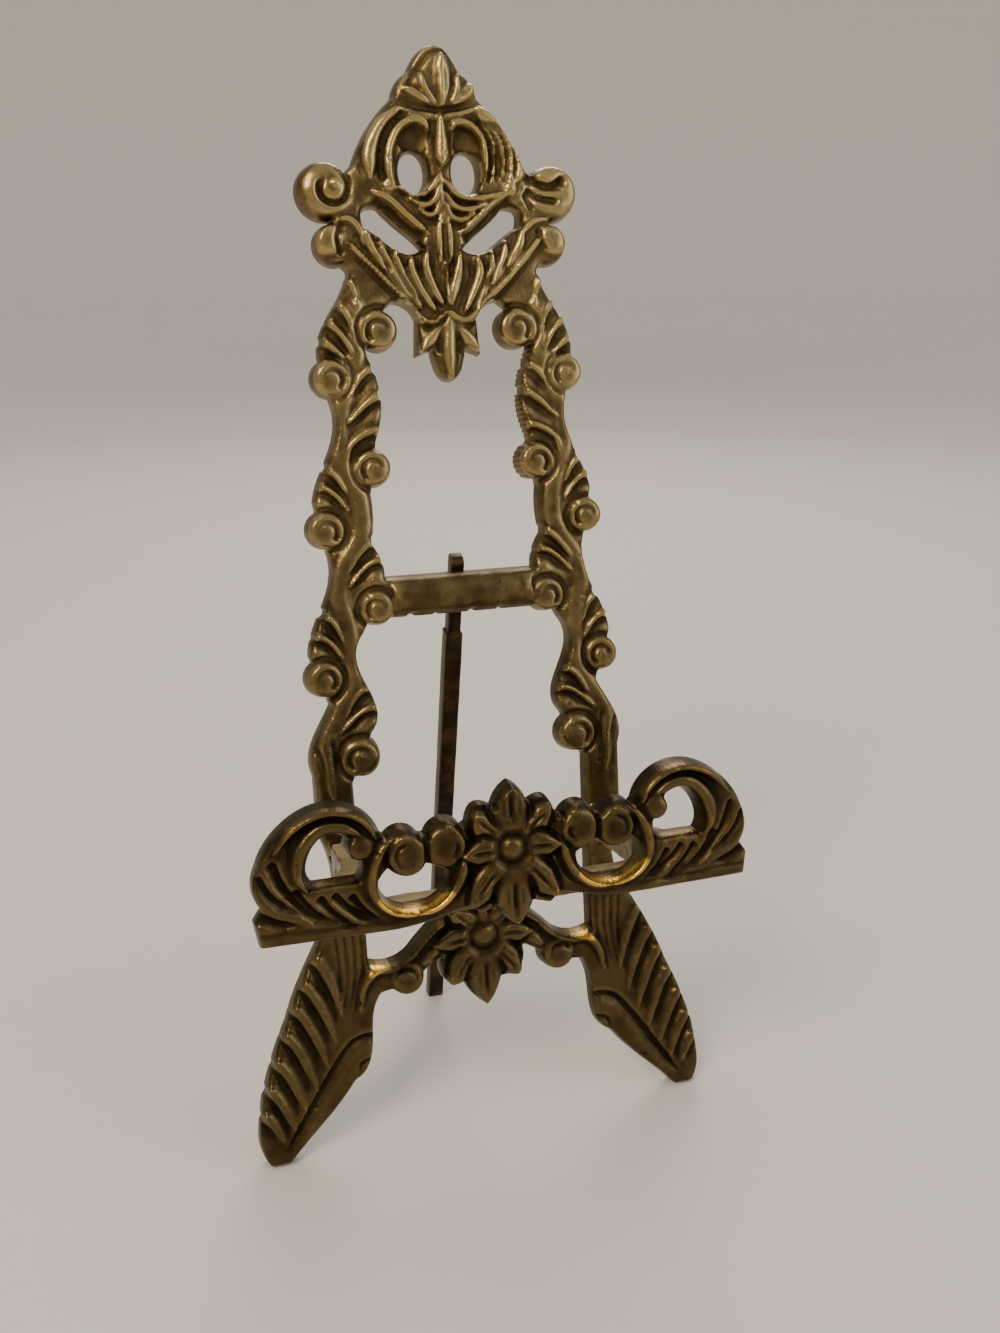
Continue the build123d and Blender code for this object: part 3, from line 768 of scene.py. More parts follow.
def sculpt_swags(relief, top_line):
    """Drapes that hang from the middle stem, over a jaw that is bevelled down to its slanted opening."""
    jaw = [(16.4, 237.4), (12.6, 235.6), (9.4, 232.7), (6.2, 230), (3.8, 228.1)]
    relief.groove([(u + 1, t - 1.9) for u, t in jaw], 4.4, 2.4, ends=(0.2, 0.1))
    relief.ridge(jaw, 2.4, 5.9, 3.8, ends=(0.1, 0.2))
    for drop, trim, width in ((0, 0, 2.1), (2.5, 0.28, 2), (4.8, 0.48, 1.9)):
        points = [(u * (1 - trim), t - drop) for u, t in top_line]
        relief.crease(points, 1.5, 0.6, 2, ends=(0.05, 0.3))
        relief.ridge([(u, t + 0.7) for u, t in points], width, 6.2, 3.8, ends=(0.12, 0.3))


def sculpt_rail(relief):
    """The flower in the middle of the rail."""
    petals = [(180, 12.4, 8), (132, 12, 7.6), (86, 13, 7.4), (37, 15.8, 8.6), (0, 19.4, 9.6)]
    sculpt_flower(relief, (0.2, 53.6), 3.9, petals)


def sculpt_rail_arm(relief):
    """A scrolled arm that carries the flower, bright along its top: rubbed metal with a painted highlight."""
    limb = [(10, 58.4), (14.6, 56.2), (19, 51.6), (24, 48.8), (28.6, 48.4), (32, 44.6), (33.4, 38)]
    relief.ridge(limb, 3.8, 6.2, ends=(0.12, 0.4))
    relief.ridge([(8.6, 52), (13, 51), (16.4, 48.2)], 4, 5.8)
    relief.dome((20.5, 44.8), 4.8, 6, 3.5, power=4)
    relief.groove(arc((20.5, 44.8), 3.2, 10, 200, 2), 1.5, 1.2)
    # Rubbed metal with a painted highlight along the arm's top
    relief.wear_and_light_stroke([(22.5, 50.8), (27, 49.6), (31, 48.4)], 3.4, 0.6)


def sculpt_flower(relief, centre, button, petals):
    """Petals round a button: angle from straight down on both sides, length and width of each."""
    for angle, length, width in petals:
        for turn in (angle, -angle) if 0 < angle < 180 else (angle,):
            sculpt_petal(relief, centre, radians(turn), length, width)
    relief.dip(centre, button + 1.8, 1.6)
    relief.dome(centre, button, 6.6, power=3)
    relief.groove(arc(centre, 0.6 * button, 200, 420), 0.9, 0.5)


def sculpt_petal(relief, centre, turn, length, width):
    """A pointed petal between two grooves, with a midrib and a fine line on each side of it."""

    def at(share, reach=0.0):
        outward, sideways = np.array((sin(turn), -cos(turn))), np.array((cos(turn), sin(turn)))
        return centre + share * length * outward + reach * width * sideways

    edge = ((0.28, 0.28), (0.55, 0.52), (0.8, 0.36), (1, 0.04))
    for side in (-1, 1):
        relief.groove([at(share, side * reach) for share, reach in edge], 2.2, 1.6, ends=(0.2, 0.15))
    relief.ridge([at(0), at(1)], width, 6.3, 3, ends=(0.3, 0.35), power=2.6)
    relief.groove([at(0.36), at(0.9)], 1.8, 1, ends=(0.2, 0.4))
    for side in (-1, 1):
        relief.groove([at(0.46, 0.17 * side), at(0.74, 0.2 * side)], 1, 0.4, ends=(0.2, 0.4))


def sculpt_foot(relief):
    """Lapped feathers down the outside, fine barbs beside them and a smooth blade inside."""
    for points in FOOT_EDGES:
        relief.ridge([(u - 1.4, t + 1.6) for u, t in points], 4.2, 5.6, 4.2, ends=(0.1, 0.6))
    for points in FOOT_EDGES:
        relief.crease(points, 1.3, 0.9, 3.8, ends=(0.02, 0.6))
        relief.notch((points[0][0] + 1.7, points[0][1] + 0.3), 2)
    for k in range(4):
        barb = [(38.4 - 2.2 * k, 61), (37.8 - 2.0 * k, 50), (38.2 - 1.5 * k, 42), (40.6 - 1.6 * k, 34.5)]
        relief.groove(barb, 1.3, 0.7, ends=(0.1, 0.4))
    relief.crease(FOOT_KNEE, 1.6, 0.6, 3.2, ends=(0.02, 0.2))
    relief.crease([(30.8, 25), (33.8, 23.8), (35, 20.6)], 1.2, 0.6, 1.8, ends=(0.02, 0.4))


def frame_relief(settings):
    """The front casting: both sides alike first, then the crest, whose sides differ."""
    relief = Relief("front_frame", cut=FRAME_THICK / 2, step=settings.grid)
    relief.swell(3.8, 1, 3.2)
    sculpt_crossbar(relief)
    for side in (-1, 1):
        relief.side = side
        sculpt_stile(relief)
        sculpt_foot(relief)
        sculpt_rail_arm(relief)
    relief.side = -1
    sculpt_left_crest(relief)
    relief.side = 1
    sculpt_right_crest(relief)
    sculpt_finial(relief)
    sculpt_face(relief)
    sculpt_rail(relief)
    relief.soften(0.22)
    relief.roughen(settings.grain, settings.seed)
    flatten_arm_seats(relief)
    file_marks(relief)
    return relief


def flatten_arm_seats(relief):
    """Cuts the flats on the stiles that the ledge's arms butt against."""
    for side in (-1, 1):
        relief.side = side
        seat = relief.window((ARM_U - 3.6, ARM_TOP - 8.5), (ARM_U + 3.6, ARM_TOP + 0.5))
        relief.high[seat] = FRAME_THICK - 0.03


def file_marks(relief):
    """Coarse filing across the right stile's inner wall."""
    relief.side = 1
    window = relief.window((13.5, 168), (20.5, 201))
    relief.inside[window] += 0.14 * np.sin(relief.grid(window)[..., 1] * 2 * pi / 1.25)


# ---------------------------------------------------------------- ledge relief

# Edges of the lapped leaves under an end scroll
END_EDGES = [
    [(58.2, 88.8), (56.4, 84.6), (52.8, 80.8), (49.4, 78.4)],
    [(55, 91.6), (53.2, 86), (49.8, 80.4), (45.4, 76.4)],
    [(50.6, 84.6), (48.4, 80.8), (45, 77.2), (40.8, 74.9)],
    [(45.2, 82.2), (42.6, 78.2), (39, 75), (36, 73.8)],
    [(42, 82.4), (39.8, 79.4), (36.6, 76.6), (33, 74.6)],
    [(38.2, 81.6), (36.2, 78.2), (33.6, 75.6), (30.8, 74.2)],
    [(58.6, 79.6), (54.4, 77.4), (49.6, 76)],
]


def sculpt_ledge_end(relief):
    """The end scroll, hollowed along its band, and the leaf that sweeps under it."""
    relief.ridge([(31.8, 93.4), (33.8, 97.4), (38.2, 100.2), (43.4, 100.9), (49.6, 98.6), (54.2, 93.4)],
                 2.8, 6.2, 3.9, ends=(0.15, 0.3))
    relief.ridge([(35.4, 95.2), (39.8, 97.5), (44.6, 97), (48.6, 92.8), (49.6, 87.6), (47.8, 83.4)],
                 3.8, 6, 3.9, ends=(0.15, 0.3), power=2.5)
    relief.groove([(34.4, 96), (39, 98.9), (44.8, 99.1), (50, 95.4), (52.2, 89.6)],
                  1.8, 1, ends=(0.2, 0.3))
    relief.patch((35.6, 91.9), 3.5)
    relief.dome((35.6, 91.9), 3.7, 6, 3.5, power=3)
    for points in END_EDGES:
        relief.crease(points, 1.6, 0.9, 2.6, ends=(0.05, 0.35))
    for tip in ((61, 88.6), (60.6, 80.4), (56.4, 98.2)):
        relief.notch(tip, 1.2)
    relief.groove([(59.4, 74.9), (50, 74.6), (36, 73.9), (25, 73.4)], 1.1, 0.6, ends=(0.05, 0.2))
    relief.wear_and_light_stroke([(36.8, 84.3), (41.5, 84.1), (46.2, 84.3)], 2.8, 0.4)


def sculpt_ledge_middle(relief):
    """Two curls that lean over the wide opening, and its rim, bright gold below: rubbed metal with a painted
    highlight on the upward faces.
    """
    relief.ridge([(23.4, 74.8), (29.6, 76.8), (33.2, 81), (33, 86.6), (30, 91.4), (25, 93.4)],
                 3.2, 6.2, 3.6, ends=(0.1, 0.15))
    relief.ridge([(23.4, 74.8), (17.8, 76.4), (13.6, 80.6), (11.9, 86.4), (12.6, 91.8), (15.4, 94.6)],
                 3, 6.1, 3.6, ends=(0.1, 0.15))
    for centre, radius, start, stop in (((25.1, 88.6), 5.4, 75, -70), ((16, 89.4), 5.1, 110, 250)):
        relief.patch(centre, radius)
        relief.dome(centre, radius, 5.9, 4.2, power=4)
        relief.groove(arc(centre, 0.92 * radius, start, stop), 1.6, 1.2, ends=(0.1, 0.2))
        relief.groove(arc(centre, 0.5 * radius, start + 40, stop), 1.4, 0.9, ends=(0.2, 0.3))
    relief.patch((20.6, 89), 3.6)
    relief.groove([(20.6, 93.4), (20.7, 89.6), (20.6, 85.6)], 1.6, 1.2, ends=(0.1, 0.1))
    relief.groove([(10.6, 94.6), (9.8, 88), (11, 81), (14.8, 75.6)], 1.3, 1.1, ends=(0.1, 0.2))
    # Rubbed metal with a painted highlight on the rim's upward faces, bright enough to turn gold
    relief.wear_and_light_stroke([(32.6, 80.2), (29, 76.7), (24, 75.4), (19, 76.4), (15, 79.6)], 3.4, 0.62)


def ledge_relief(settings):
    """The ledge's face: an end scroll and a wide opening on each side of a flower."""
    relief = Relief("front_ledge", cut=LEDGE_FRONT - 3, step=settings.grid)
    relief.swell(3.9, 1, 3.2)
    for side in (-1, 1):
        relief.side = side
        sculpt_ledge_end(relief)
        sculpt_ledge_middle(relief)
    relief.side = 1
    petals = [(134, 13.4, 8), (88, 11.6, 7.6), (180, 17.2, 10), (40, 16.6, 8), (0, 19.4, 9.4)]
    sculpt_flower(relief, (-0.6, 87), 3.5, petals)
    relief.soften(0.22)
    relief.roughen(settings.grain, settings.seed + 1)
    return relief


# ---------------------------------------------------------------- solid pieces


def rounded_ring(width, depth, corner, around=4):
    """Corner-rounded rectangle about the origin, as (across, out) points."""
    ring = []
    for quarter, (a, b) in enumerate(((1, 1), (-1, 1), (-1, -1), (1, -1))):
        for k in range(around):
            turn = (quarter + k / (around - 1)) * pi / 2
            ring.append((a * (width / 2 - corner) + corner * cos(turn),
                         b * (depth / 2 - corner) + corner * sin(turn)))
    return np.array(ring)


def skin(rings):
    """Faces between neighbouring rings of equal count, with a cap at each end."""
    rings = np.array(rings, float)
    count = rings.shape[1]
    last = (len(rings) - 1) * count
    faces = [tuple(reversed(range(count))), tuple(range(last, last + count))]
    for start in range(0, last, count):
        for k in range(count):
            a, b = start + k, start + (k + 1) % count
            faces.append((a, b, b + count, a + count))
    return rings.reshape(-1, 3), faces


def turned(profile, count=40):
    """Points and faces of a lathe shape about the first axis; profile gives (along, radius) pairs."""
    turn = np.linspace(0, 2 * pi, count, endpoint=False)
    return skin([np.stack([np.full(count, a), r * np.cos(turn), r * np.sin(turn)], -1) for a, r in profile])


def prism(outline, low, high):
    """Points and faces of an outline swept along the first axis from low to high."""
    return skin([[(along, *point) for point in outline] for along in (low, high)])


def about_pin(points):
    """World places of points given about the hinge pin, whose axis is the first one."""
    return to_world(points[:, 0], points[:, 1] + PIN_T, points[:, 2] + PIN_W)


def apply_modifier(obj, kind, **options):
    """Gives an object a modifier and puts its result into the mesh."""
    modifier = obj.modifiers.new(kind.lower(), kind)
    for option, value in options.items():
        setattr(modifier, option, value)
    bake(obj)


def bake(obj):
    """Puts an object's modifiers into its mesh."""
    graph = bpy.context.evaluated_depsgraph_get()
    graph.update()
    mesh = bpy.data.meshes.new_from_object(obj.evaluated_get(graph))
    mesh.name = obj.name
    obj.modifiers.clear()
    obj.data = mesh


def round_edges(obj, width):
    apply_modifier(obj, "BEVEL", width=width * MM, segments=3, limit_method="ANGLE")


def cast_lumps(obj, voxel, height):
    """Re-cuts a piece into small faces and gives it the lumps of a sand casting."""
    apply_modifier(obj, "REMESH", mode="VOXEL", voxel_size=voxel * MM)
    for vertex in obj.data.vertices:
        place = vertex.co / MM
        swell = height * (noise.noise(place / 3.2) + 0.5 * noise.noise(place / 1.1))
        vertex.co += vertex.normal * swell * MM
    obj.data.shade_smooth()


def cut_away(obj, tool):
    """Takes one solid out of another, and the tool out of the scene."""
    apply_modifier(obj, "BOOLEAN", operation="DIFFERENCE", solver="EXACT", object=tool)
    bpy.data.objects.remove(tool)
    shade(obj, 40)


def hinge_bore(radius, clearance):
    """A cylinder about the hinge pin, long enough to bore anything in the hinge."""
    points, faces = turned([(along, radius + clearance) for along in (-8, 8)], 64)
    return mesh_object("bore", about_pin(points), faces)


def joined(name, parts):
    """One object out of several, with shared materials dropped."""
    work = bmesh.new()
    for part in parts:
        work.from_mesh(part.data)
        bpy.data.objects.remove(part)
    return linked(name, work, bpy.data.meshes.new(name))


# ---------------------------------------------------------------- materials


def linear(code):
    """A hex sRGB colour as linear RGBA."""
    channels = [int(code[k:k + 2], 16) / 255 for k in (0, 2, 4)]
    return [c / 12.92 if c <= 0.04045 else ((c + 0.055) / 1.055) ** 2.4 for c in channels] + [1.0]


def feed(tree, node, values):
    """Sets a node's inputs, by name or number, to constants or to the sockets that drive them."""
    for key, value in values.items():
        if isinstance(value, bpy.types.NodeSocket):
            tree.links.new(value, node.inputs[key])
        else:
            node.inputs[key].default_value = value


def add(tree, kind, values=None, **options):
    """A new node with its options and its inputs set."""
    node = tree.nodes.new(kind)
    for option, value in options.items():
        setattr(node, option, value)
    feed(tree, node, values or {})
    return node


def colour_mix(tree, factor, first, second, blend="MIX"):
    """The second colour over the first by a factor; each may be a socket."""
    node = tree.nodes.new("ShaderNodeMix")
    node.data_type = "RGBA"
    node.blend_type = blend
    feed(tree, node, {0: factor, 6: first, 7: second})
    return node.outputs[2]


def ramp(tree, value, low, high):
    """0 at low, 1 at high, eased between."""
    limits = {"Value": value, "From Min": low, "From Max": high}
    return add(tree, "ShaderNodeMapRange", limits, interpolation_type="SMOOTHSTEP").outputs["Result"]


def lumps(tree, coordinates, size_mm, detail=4.0, roughness=0.55):
    """Noise whose lumps are about size_mm across."""
    values = {"Vector": coordinates, "Scale": 1000.0 / size_mm, "Detail": detail, "Roughness": roughness}
    return add(tree, "ShaderNodeTexNoise", values).outputs["Fac"]


def product(tree, first, second):
    return add(tree, "ShaderNodeMath", {0: first, 1: second}, operation="MULTIPLY").outputs[0]


def weighted(tree, value, weight, rest):
    """value times weight, plus the rest."""
    return add(tree, "ShaderNodeMath", {0: value, 1: weight, 2: rest}, operation="MULTIPLY_ADD").outputs[0]


def new_material(name):
    """A material, its tree, its shader and its object coordinates."""
    material = bpy.data.materials.new(name)
    material.use_nodes = True
    tree = material.node_tree
    position = add(tree, "ShaderNodeTexCoord").outputs["Object"]
    return material, tree, tree.nodes["Principled BSDF"], position


def bump(tree, height, strength, distance):
    values = {"Height": height, "Strength": strength, "Distance": distance}
    return add(tree, "ShaderNodeBump", values).outputs["Normal"]


def wear_levels(tree, relief, mottled):
    """How far a spot is a crest, partly a painted highlight; a hollow, partly painted shade; and polished gold
    metal, partly a painted glint; from the worn attribute or the mesh's edges.
    """
    if relief:
        worn = add(tree, "ShaderNodeAttribute", attribute_name="worn").outputs["Fac"]
        # The mottling averages 0.125, so plain ground lies at 0.625
        height = weighted(tree, mottled, 0.25, worn)
        limits = (0.625, 0.925), (0.575, 0.305), (1.075, 1.375)
        return [ramp(tree, height, low, high) for low, high in limits]
    edge = add(tree, "ShaderNodeNewGeometry").outputs["Pointiness"]
    return [ramp(tree, edge, 0.51, 0.60), ramp(tree, edge, 0.48, 0.42), 0.0]


def aged_brass(name, floor_shade, relief=True, wear_and_painted_light=0.55, low_z=0.0, high_z=0.27):
    """Sand-cast brass, brushed clean once and left to tarnish.

    Wear keeps the crests light and fairly glossy, with a painted highlight laid over them; wax and dirt
    stay brown in the hollows, deepened with painted shade; painted shade darkens the metal towards the
    floor; and fine grain with scattered pits breaks up the highlights.
    """
    palette = bpy.context.scene.easel_patina
    bright, body, brown, grime_and_shade, bare_gold_and_glint = [
        linear(code) for code in (palette.bright, palette.body, palette.brown, palette.grime_and_shade, palette.bare_gold_and_glint)]
    material, tree, shader, position = new_material(name)
    cloudy = lumps(tree, position, 14.0)
    mottled = lumps(tree, position, 3.5, 5.0)
    grain = lumps(tree, position, 0.7, 3.0, 0.6)
    crest, hollow, bare_and_glint = wear_levels(tree, relief, mottled)
    height_z = add(tree, "ShaderNodeSeparateXYZ", {"Vector": position}).outputs["Z"]
    # Painted shade: 1 near the floor, 0 higher up, to darken the metal low down
    low = ramp(tree, height_z, high_z, low_z)
    tarnish = ramp(tree, weighted(tree, mottled, 0.6, cloudy), 0.62, 0.98)
    # Crest brightening: worn polish and a painted highlight, with less of it near the floor as painted shade
    crest_polish_and_highlight = weighted(tree, low, -0.3, wear_and_painted_light)
    # Grime in the hollows, partly real dirt and partly painted shade, with more painted shade near the floor
    hollow_grime_and_shade = weighted(tree, low, 0.3, 0.38)
    colour = colour_mix(tree, product(tree, tarnish, 0.75), body, brown)
    colour = colour_mix(tree, product(tree, crest, crest_polish_and_highlight), colour, bright)
    colour = colour_mix(tree, product(tree, hollow, hollow_grime_and_shade), colour, grime_and_shade)
    # Painted shade: the colour is multiplied by brown towards the floor
    floor_shaded = colour_mix(tree, 0.75, colour, brown, "MULTIPLY")
    colour = colour_mix(tree, product(tree, low, floor_shade), colour, floor_shaded)
    # Gold where the polishing strokes are strongest, partly a painted highlight
    colour = colour_mix(tree, bare_and_glint, colour, bare_gold_and_glint)
    rough = weighted(tree, hollow, 0.3, weighted(tree, mottled, 0.22, 0.24))
    cells = add(tree, "ShaderNodeTexVoronoi", {"Vector": position, "Scale": 1000.0 / 1.6})
    pits = ramp(tree, cells.outputs["Distance"], 0.0, 0.28)
    skin_height = weighted(tree, grain, 0.5, product(tree, pits, 0.5))
    feed(tree, shader, {
        "Base Color": colour,
        "Metallic": 0.92,
        "Roughness": weighted(tree, crest, -0.08, rough),
        "Normal": bump(tree, skin_height, 0.35, 0.00035),
    })
    return material


def arm_brass(name):
    """Cast brass under a pinkish-tan film of dust and old polish on every upward face."""
    # 0.3: strength of the painted shade towards the floor
    material = aged_brass(name, 0.3, False)
    tree = material.node_tree
    shader = tree.nodes["Principled BSDF"]
    colour, rough = [shader.inputs[name].links[0].from_socket for name in ("Base Color", "Roughness")]
    position = add(tree, "ShaderNodeTexCoord").outputs["Object"]
    normal = add(tree, "ShaderNodeNewGeometry").outputs["Normal"]
    upward = add(tree, "ShaderNodeSeparateXYZ", {"Vector": normal}).outputs["Z"]
    film = ramp(tree, weighted(tree, upward, 1.0, lumps(tree, position, 4.0)), 1.1, 1.5)
    feed(tree, shader, {
        "Base Color": colour_mix(tree, film, colour, linear(bpy.context.scene.easel_patina.film)),
        "Metallic": weighted(tree, film, -0.92, 0.92),
        "Roughness": weighted(tree, film, 0.35, rough),
    })
    return material


def dark_bar(name):
    """Cast brass bar under a near-black brown patina, worn lighter along its corners and file-marked."""
    palette = bpy.context.scene.easel_patina
    material, tree, shader, position = new_material(name)
    mottled = lumps(tree, position, 5.0, 5.0)
    base = colour_mix(tree, ramp(tree, mottled, 0.42, 0.7), linear(palette.bronze), linear(palette.brown))
    edge = ramp(tree, add(tree, "ShaderNodeNewGeometry").outputs["Pointiness"], 0.52, 0.60)
    squeezed = add(tree, "ShaderNodeMapping", {"Vector": position, "Scale": (1.0, 1.0, 7.0)}).outputs[0]
    feed(tree, shader, {
        "Base Color": colour_mix(tree, product(tree, edge, 0.45), base, linear(palette.body)),
        "Metallic": 0.85,
        "Roughness": weighted(tree, mottled, 0.3, 0.3),
        "Normal": bump(tree, lumps(tree, squeezed, 3.0, 3.0), 0.3, 0.0003),
    })
    return material


def pale_floor(name):
    """Matt studio paper: pale, so that the brass stands clear of it, and without any gloss."""
    material, tree, shader, _ = new_material(name)
    feed(tree, shader, {"Base Color": linear(bpy.context.scene.easel_stage.floor), "Roughness": 0.9})
    return material


def finish_piece(obj, body, slot, material, *replaced):
    """Gives a piece its material and its body, and hides the CAD nodes it stands for; the slot is not used."""
    obj.data.materials.clear()
    obj.data.materials.append(material)
    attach(obj, body)
    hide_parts(*replaced)


# ---------------------------------------------------------------- operators


class EASEL_OT_front_frame(bpy.types.Operator):
    """Sculpts the front casting: crest, stiles, crossbar, rail and feet"""

    bl_idname = "easel.front_frame"
    bl_label = "Front frame"

    def execute(self, context):
        settings = context.scene.easel_casting
        relief = frame_relief(settings)
        piece = casting_mesh("front_frame_casting", relief, 0.0, settings.frame_mesh, settings)
        # 0.9: strength of the painted shade towards the floor
        finish_piece(piece, "easel", "frame_brass", aged_brass("sand_cast_brass_frame", 0.9), "front_frame")
        return {"FINISHED"}


class EASEL_OT_front_ledge(bpy.types.Operator):
    """Sculpts the ledge's openwork face"""

    bl_idname = "easel.front_ledge"
    bl_label = "Front ledge"

    def execute(self, context):
        settings = context.scene.easel_casting
        relief = ledge_relief(settings)
        piece = casting_mesh("ledge_face_casting", relief, LEDGE_BACK, settings.ledge_mesh, settings)
        # 1.0 and the two heights: painted shade that darkens the ledge towards the floor; the stronger crest
        #                          brightening is partly a painted highlight
        material = aged_brass("sand_cast_brass_ledge", 1.0, wear_and_painted_light=0.75, low_z=0.11, high_z=0.14)
        finish_piece(piece, "easel", "ledge_brass", material, "front_ledge")
        return {"FINISHED"}


class EASEL_OT_ledge_arms(bpy.types.Operator):
    """Models the two flared arms the album stands on and the rib between them"""

    bl_idname = "easel.ledge_arms"
    bl_label = "Ledge arms"

    def execute(self, context):
        settings = context.scene.easel_solids
        underside = ARM_TOP - settings.arm_height
        parts = [self.arm(settings, side, underside) for side in (-1, 1)]
        parts.append(self.rib(settings, underside - settings.rib_drop, underside + settings.rib_lap))
        for part in parts:
            round_edges(part, width=0.9)
            cast_lumps(part, voxel=0.45, height=0.16)
        piece = joined("ledge_arms", parts)
        finish_piece(piece, "easel", "ledge_brass", arm_brass("sand_cast_brass_arms"), "front_ledge")
        return {"FINISHED"}

    @staticmethod
    def arm(settings, side, underside):
        """Straight from the stile, then flared outwards to the ledge."""
        half, straight = settings.arm_width / 2, FRAME_THICK + settings.arm_straight
        plan = [(-half, FRAME_THICK), (half, FRAME_THICK)]
        plan += [(half + settings.arm_flare * share ** 2.6, straight + (LEDGE_BACK - straight) * share)
                 for share in np.linspace(0, 1, 9)]
        points, faces = prism(plan + [(-half, LEDGE_BACK)], underside, ARM_TOP)
        up, across, out = points.T
        return mesh_object("arm", to_world(side * (ARM_U + across), up, out), faces)

    @staticmethod
    def rib(settings, low, high):
        """A bar along the ledge's back, lapped up under the arms."""
        near, far = LEDGE_BACK - settings.rib_depth, LEDGE_BACK
        reach = ARM_U + settings.arm_width / 2
        points, faces = prism([(low, near), (high, near), (high, far), (low, far)], -reach, reach)
        return mesh_object("rib", to_world(*points.T), faces)


class EASEL_OT_ledge_screws(bpy.types.Operator):
    """Sets the two slotted screws that hold the ledge, with Geometry Nodes"""

    bl_idname = "easel.ledge_screws"
    bl_label = "Ledge screws"

    def execute(self, context):
        settings = context.scene.easel_solids
        # 0.3: strength of the painted shade towards the floor
        material = aged_brass("turned_brass_screws", 0.3, False)
        screw = self.one_screw(settings)
        obj = mesh_object("ledge_screws_set", [(0, 0, 0)], [])
        modifier = obj.modifiers.new("screws", "NODES")
        modifier.node_group = screw_tree(screw, material)
        sockets = {item.name: item.identifier for item in modifier.node_group.interface.items_tree}
        middle = ARM_TOP - settings.arm_height / 2
        modifier[sockets["First place"]] = tuple(to_world(-ARM_U, middle, 0)[0])
        modifier[sockets["Spacing"]] = 2 * ARM_U * MM
        modifier[sockets["Lean"]] = LEAN
        modifier[sockets["Seed"]] = settings.screw_seed
        bake(obj)
        bpy.data.objects.remove(screw)
        finish_piece(obj, "easel", "screw_brass", material, "ledge_screws")
        return {"FINISHED"}

    @staticmethod
    def one_screw(settings):
        """A round-head screw along Y, its slot across X, its bearing face at the origin."""
        radius, rise = settings.screw_radius, settings.screw_rise
        dome = [(rise * sin(a), radius * cos(a) ** 0.7) for a in np.radians((78, 64, 50, 36, 22, 10, 0))]
        shank = [(0, 1.95), (-8, 1.95), (-13.2, 1.9), (-13.7, 1.4)]
        points, faces = turned([(rise, 0.4)] + dome + shank)
        screw = mesh_object("screw", points[:, [2, 0, 1]] * MM, faces)
        slot = [(rise - 1.0, -0.5), (rise - 1.0, 0.5), (rise + 1, 0.5), (rise + 1, -0.5)]
        points, faces = prism(slot, -5, 5)
        cut_away(screw, mesh_object("slot", points * MM, faces))
        return screw


def screw_tree(screw, material):
    """Two points in a row, a screw on each turned by a seeded angle, leaned with the frame."""
    tree = bpy.data.node_groups.new("screws", "GeometryNodeTree")
    for name, kind in (("Geometry", "Geometry"), ("First place", "Vector"), ("Spacing", "Float"),
                       ("Lean", "Float"), ("Seed", "Int")):
        tree.interface.new_socket(name, in_out="INPUT", socket_type="NodeSocket" + kind)
    tree.interface.new_socket("Geometry", in_out="OUTPUT", socket_type="NodeSocketGeometry")
    inputs = add(tree, "NodeGroupInput").outputs
    step = add(tree, "ShaderNodeCombineXYZ", {"X": inputs["Spacing"]}).outputs[0]
    line = {"Count": 2, "Start Location": inputs["First place"], "Offset": step}
    row = add(tree, "GeometryNodeMeshLine", line)
    angle = add(tree, "FunctionNodeRandomValue", {2: 0.0, 3: pi, "Seed": inputs["Seed"]}, data_type="FLOAT")
    turn = add(tree, "ShaderNodeCombineXYZ", {"X": inputs["Lean"], "Y": angle.outputs[1]}).outputs[0]
    shape = add(tree, "GeometryNodeObjectInfo", {"Object": screw}).outputs["Geometry"]
    placed = add(tree, "GeometryNodeInstanceOnPoints",
                 {"Points": row.outputs[0], "Instance": shape, "Rotation": turn})
    solid = add(tree, "GeometryNodeRealizeInstances", {"Geometry": placed.outputs[0]})
    painted = add(tree, "GeometryNodeSetMaterial", {"Geometry": solid.outputs[0], "Material": material})
    add(tree, "NodeGroupOutput", {"Geometry": painted.outputs[0]})
    return tree


class EASEL_OT_hinge_ears(bpy.types.Operator):
    """Models the two bored ears behind the crossbar"""

    bl_idname = "easel.hinge_ears"
    bl_label = "Hinge ears"

    def execute(self, context):
        settings = context.scene.easel_solids
        radius = settings.ear_radius
        inner = settings.tongue_width / 2 + settings.ear_gap
        # The ears run a little way into the crossbar, on a small fillet
        root = [(radius + 1.1, 0.3), (radius + 0.3, -0.5), (radius, -1.4)]
        around = np.radians(np.linspace(180, 360, 25))
        outline = [(PIN_T + reach, w) for reach, w in root]
        outline += [(PIN_T - radius * cos(a), PIN_W + radius * sin(a)) for a in around]
        outline += [(PIN_T - reach, w) for reach, w in reversed(root)]
        parts = []
        for side in (-1, 1):
            points, faces = prism(outline, side * inner, side * (inner + settings.ear_thick))
            ear = mesh_object("ear", to_world(*points.T), faces)
            round_edges(ear, width=0.3)
            cut_away(ear, hinge_bore(settings.pin_radius, clearance=0.02))
            parts.append(ear)
        piece = joined("hinge_ears", parts)
        shade(piece, 35)
        # 0.6: strength of the painted shade towards the floor
        material = aged_brass("filed_brass_ears", 0.6, False)
        finish_piece(piece, "easel", "frame_brass", material, "front_frame")
        return {"FINISHED"}


class EASEL_OT_hinge_pin(bpy.types.Operator):
    """Turns the hinge pin, hammered over outside both ears"""

    bl_idname = "easel.hinge_pin"
    bl_label = "Hinge pin"

    def execute(self, context):
        settings = context.scene.easel_solids
        face = settings.tongue_width / 2 + settings.ear_gap + settings.ear_thick
        head = [(0, 2.05), (0.15, 2.2), (0.5, 2.15), (0.75, 1.8), (0.9, 1.1), (0.86, 0.3)]
        right = [(face + out, radius) for out, radius in [(0, settings.pin_radius)] + head]
        points, faces = turned([(-along, radius) for along, radius in reversed(right)] + right)
        hammered = [1 + 0.03 * noise.noise(Vector(p) * 1.6) for p in points]
        points[:, 1:] *= np.array(hammered)[:, None]
        piece = mesh_object("hinge_pin_riveted", about_pin(points), faces)
        # 0.6: strength of the painted shade towards the floor
        finish_piece(piece, "easel", "pin_brass", aged_brass("hammered_brass_pin", 0.6, False), "hinge_pin")
        return {"FINISHED"}


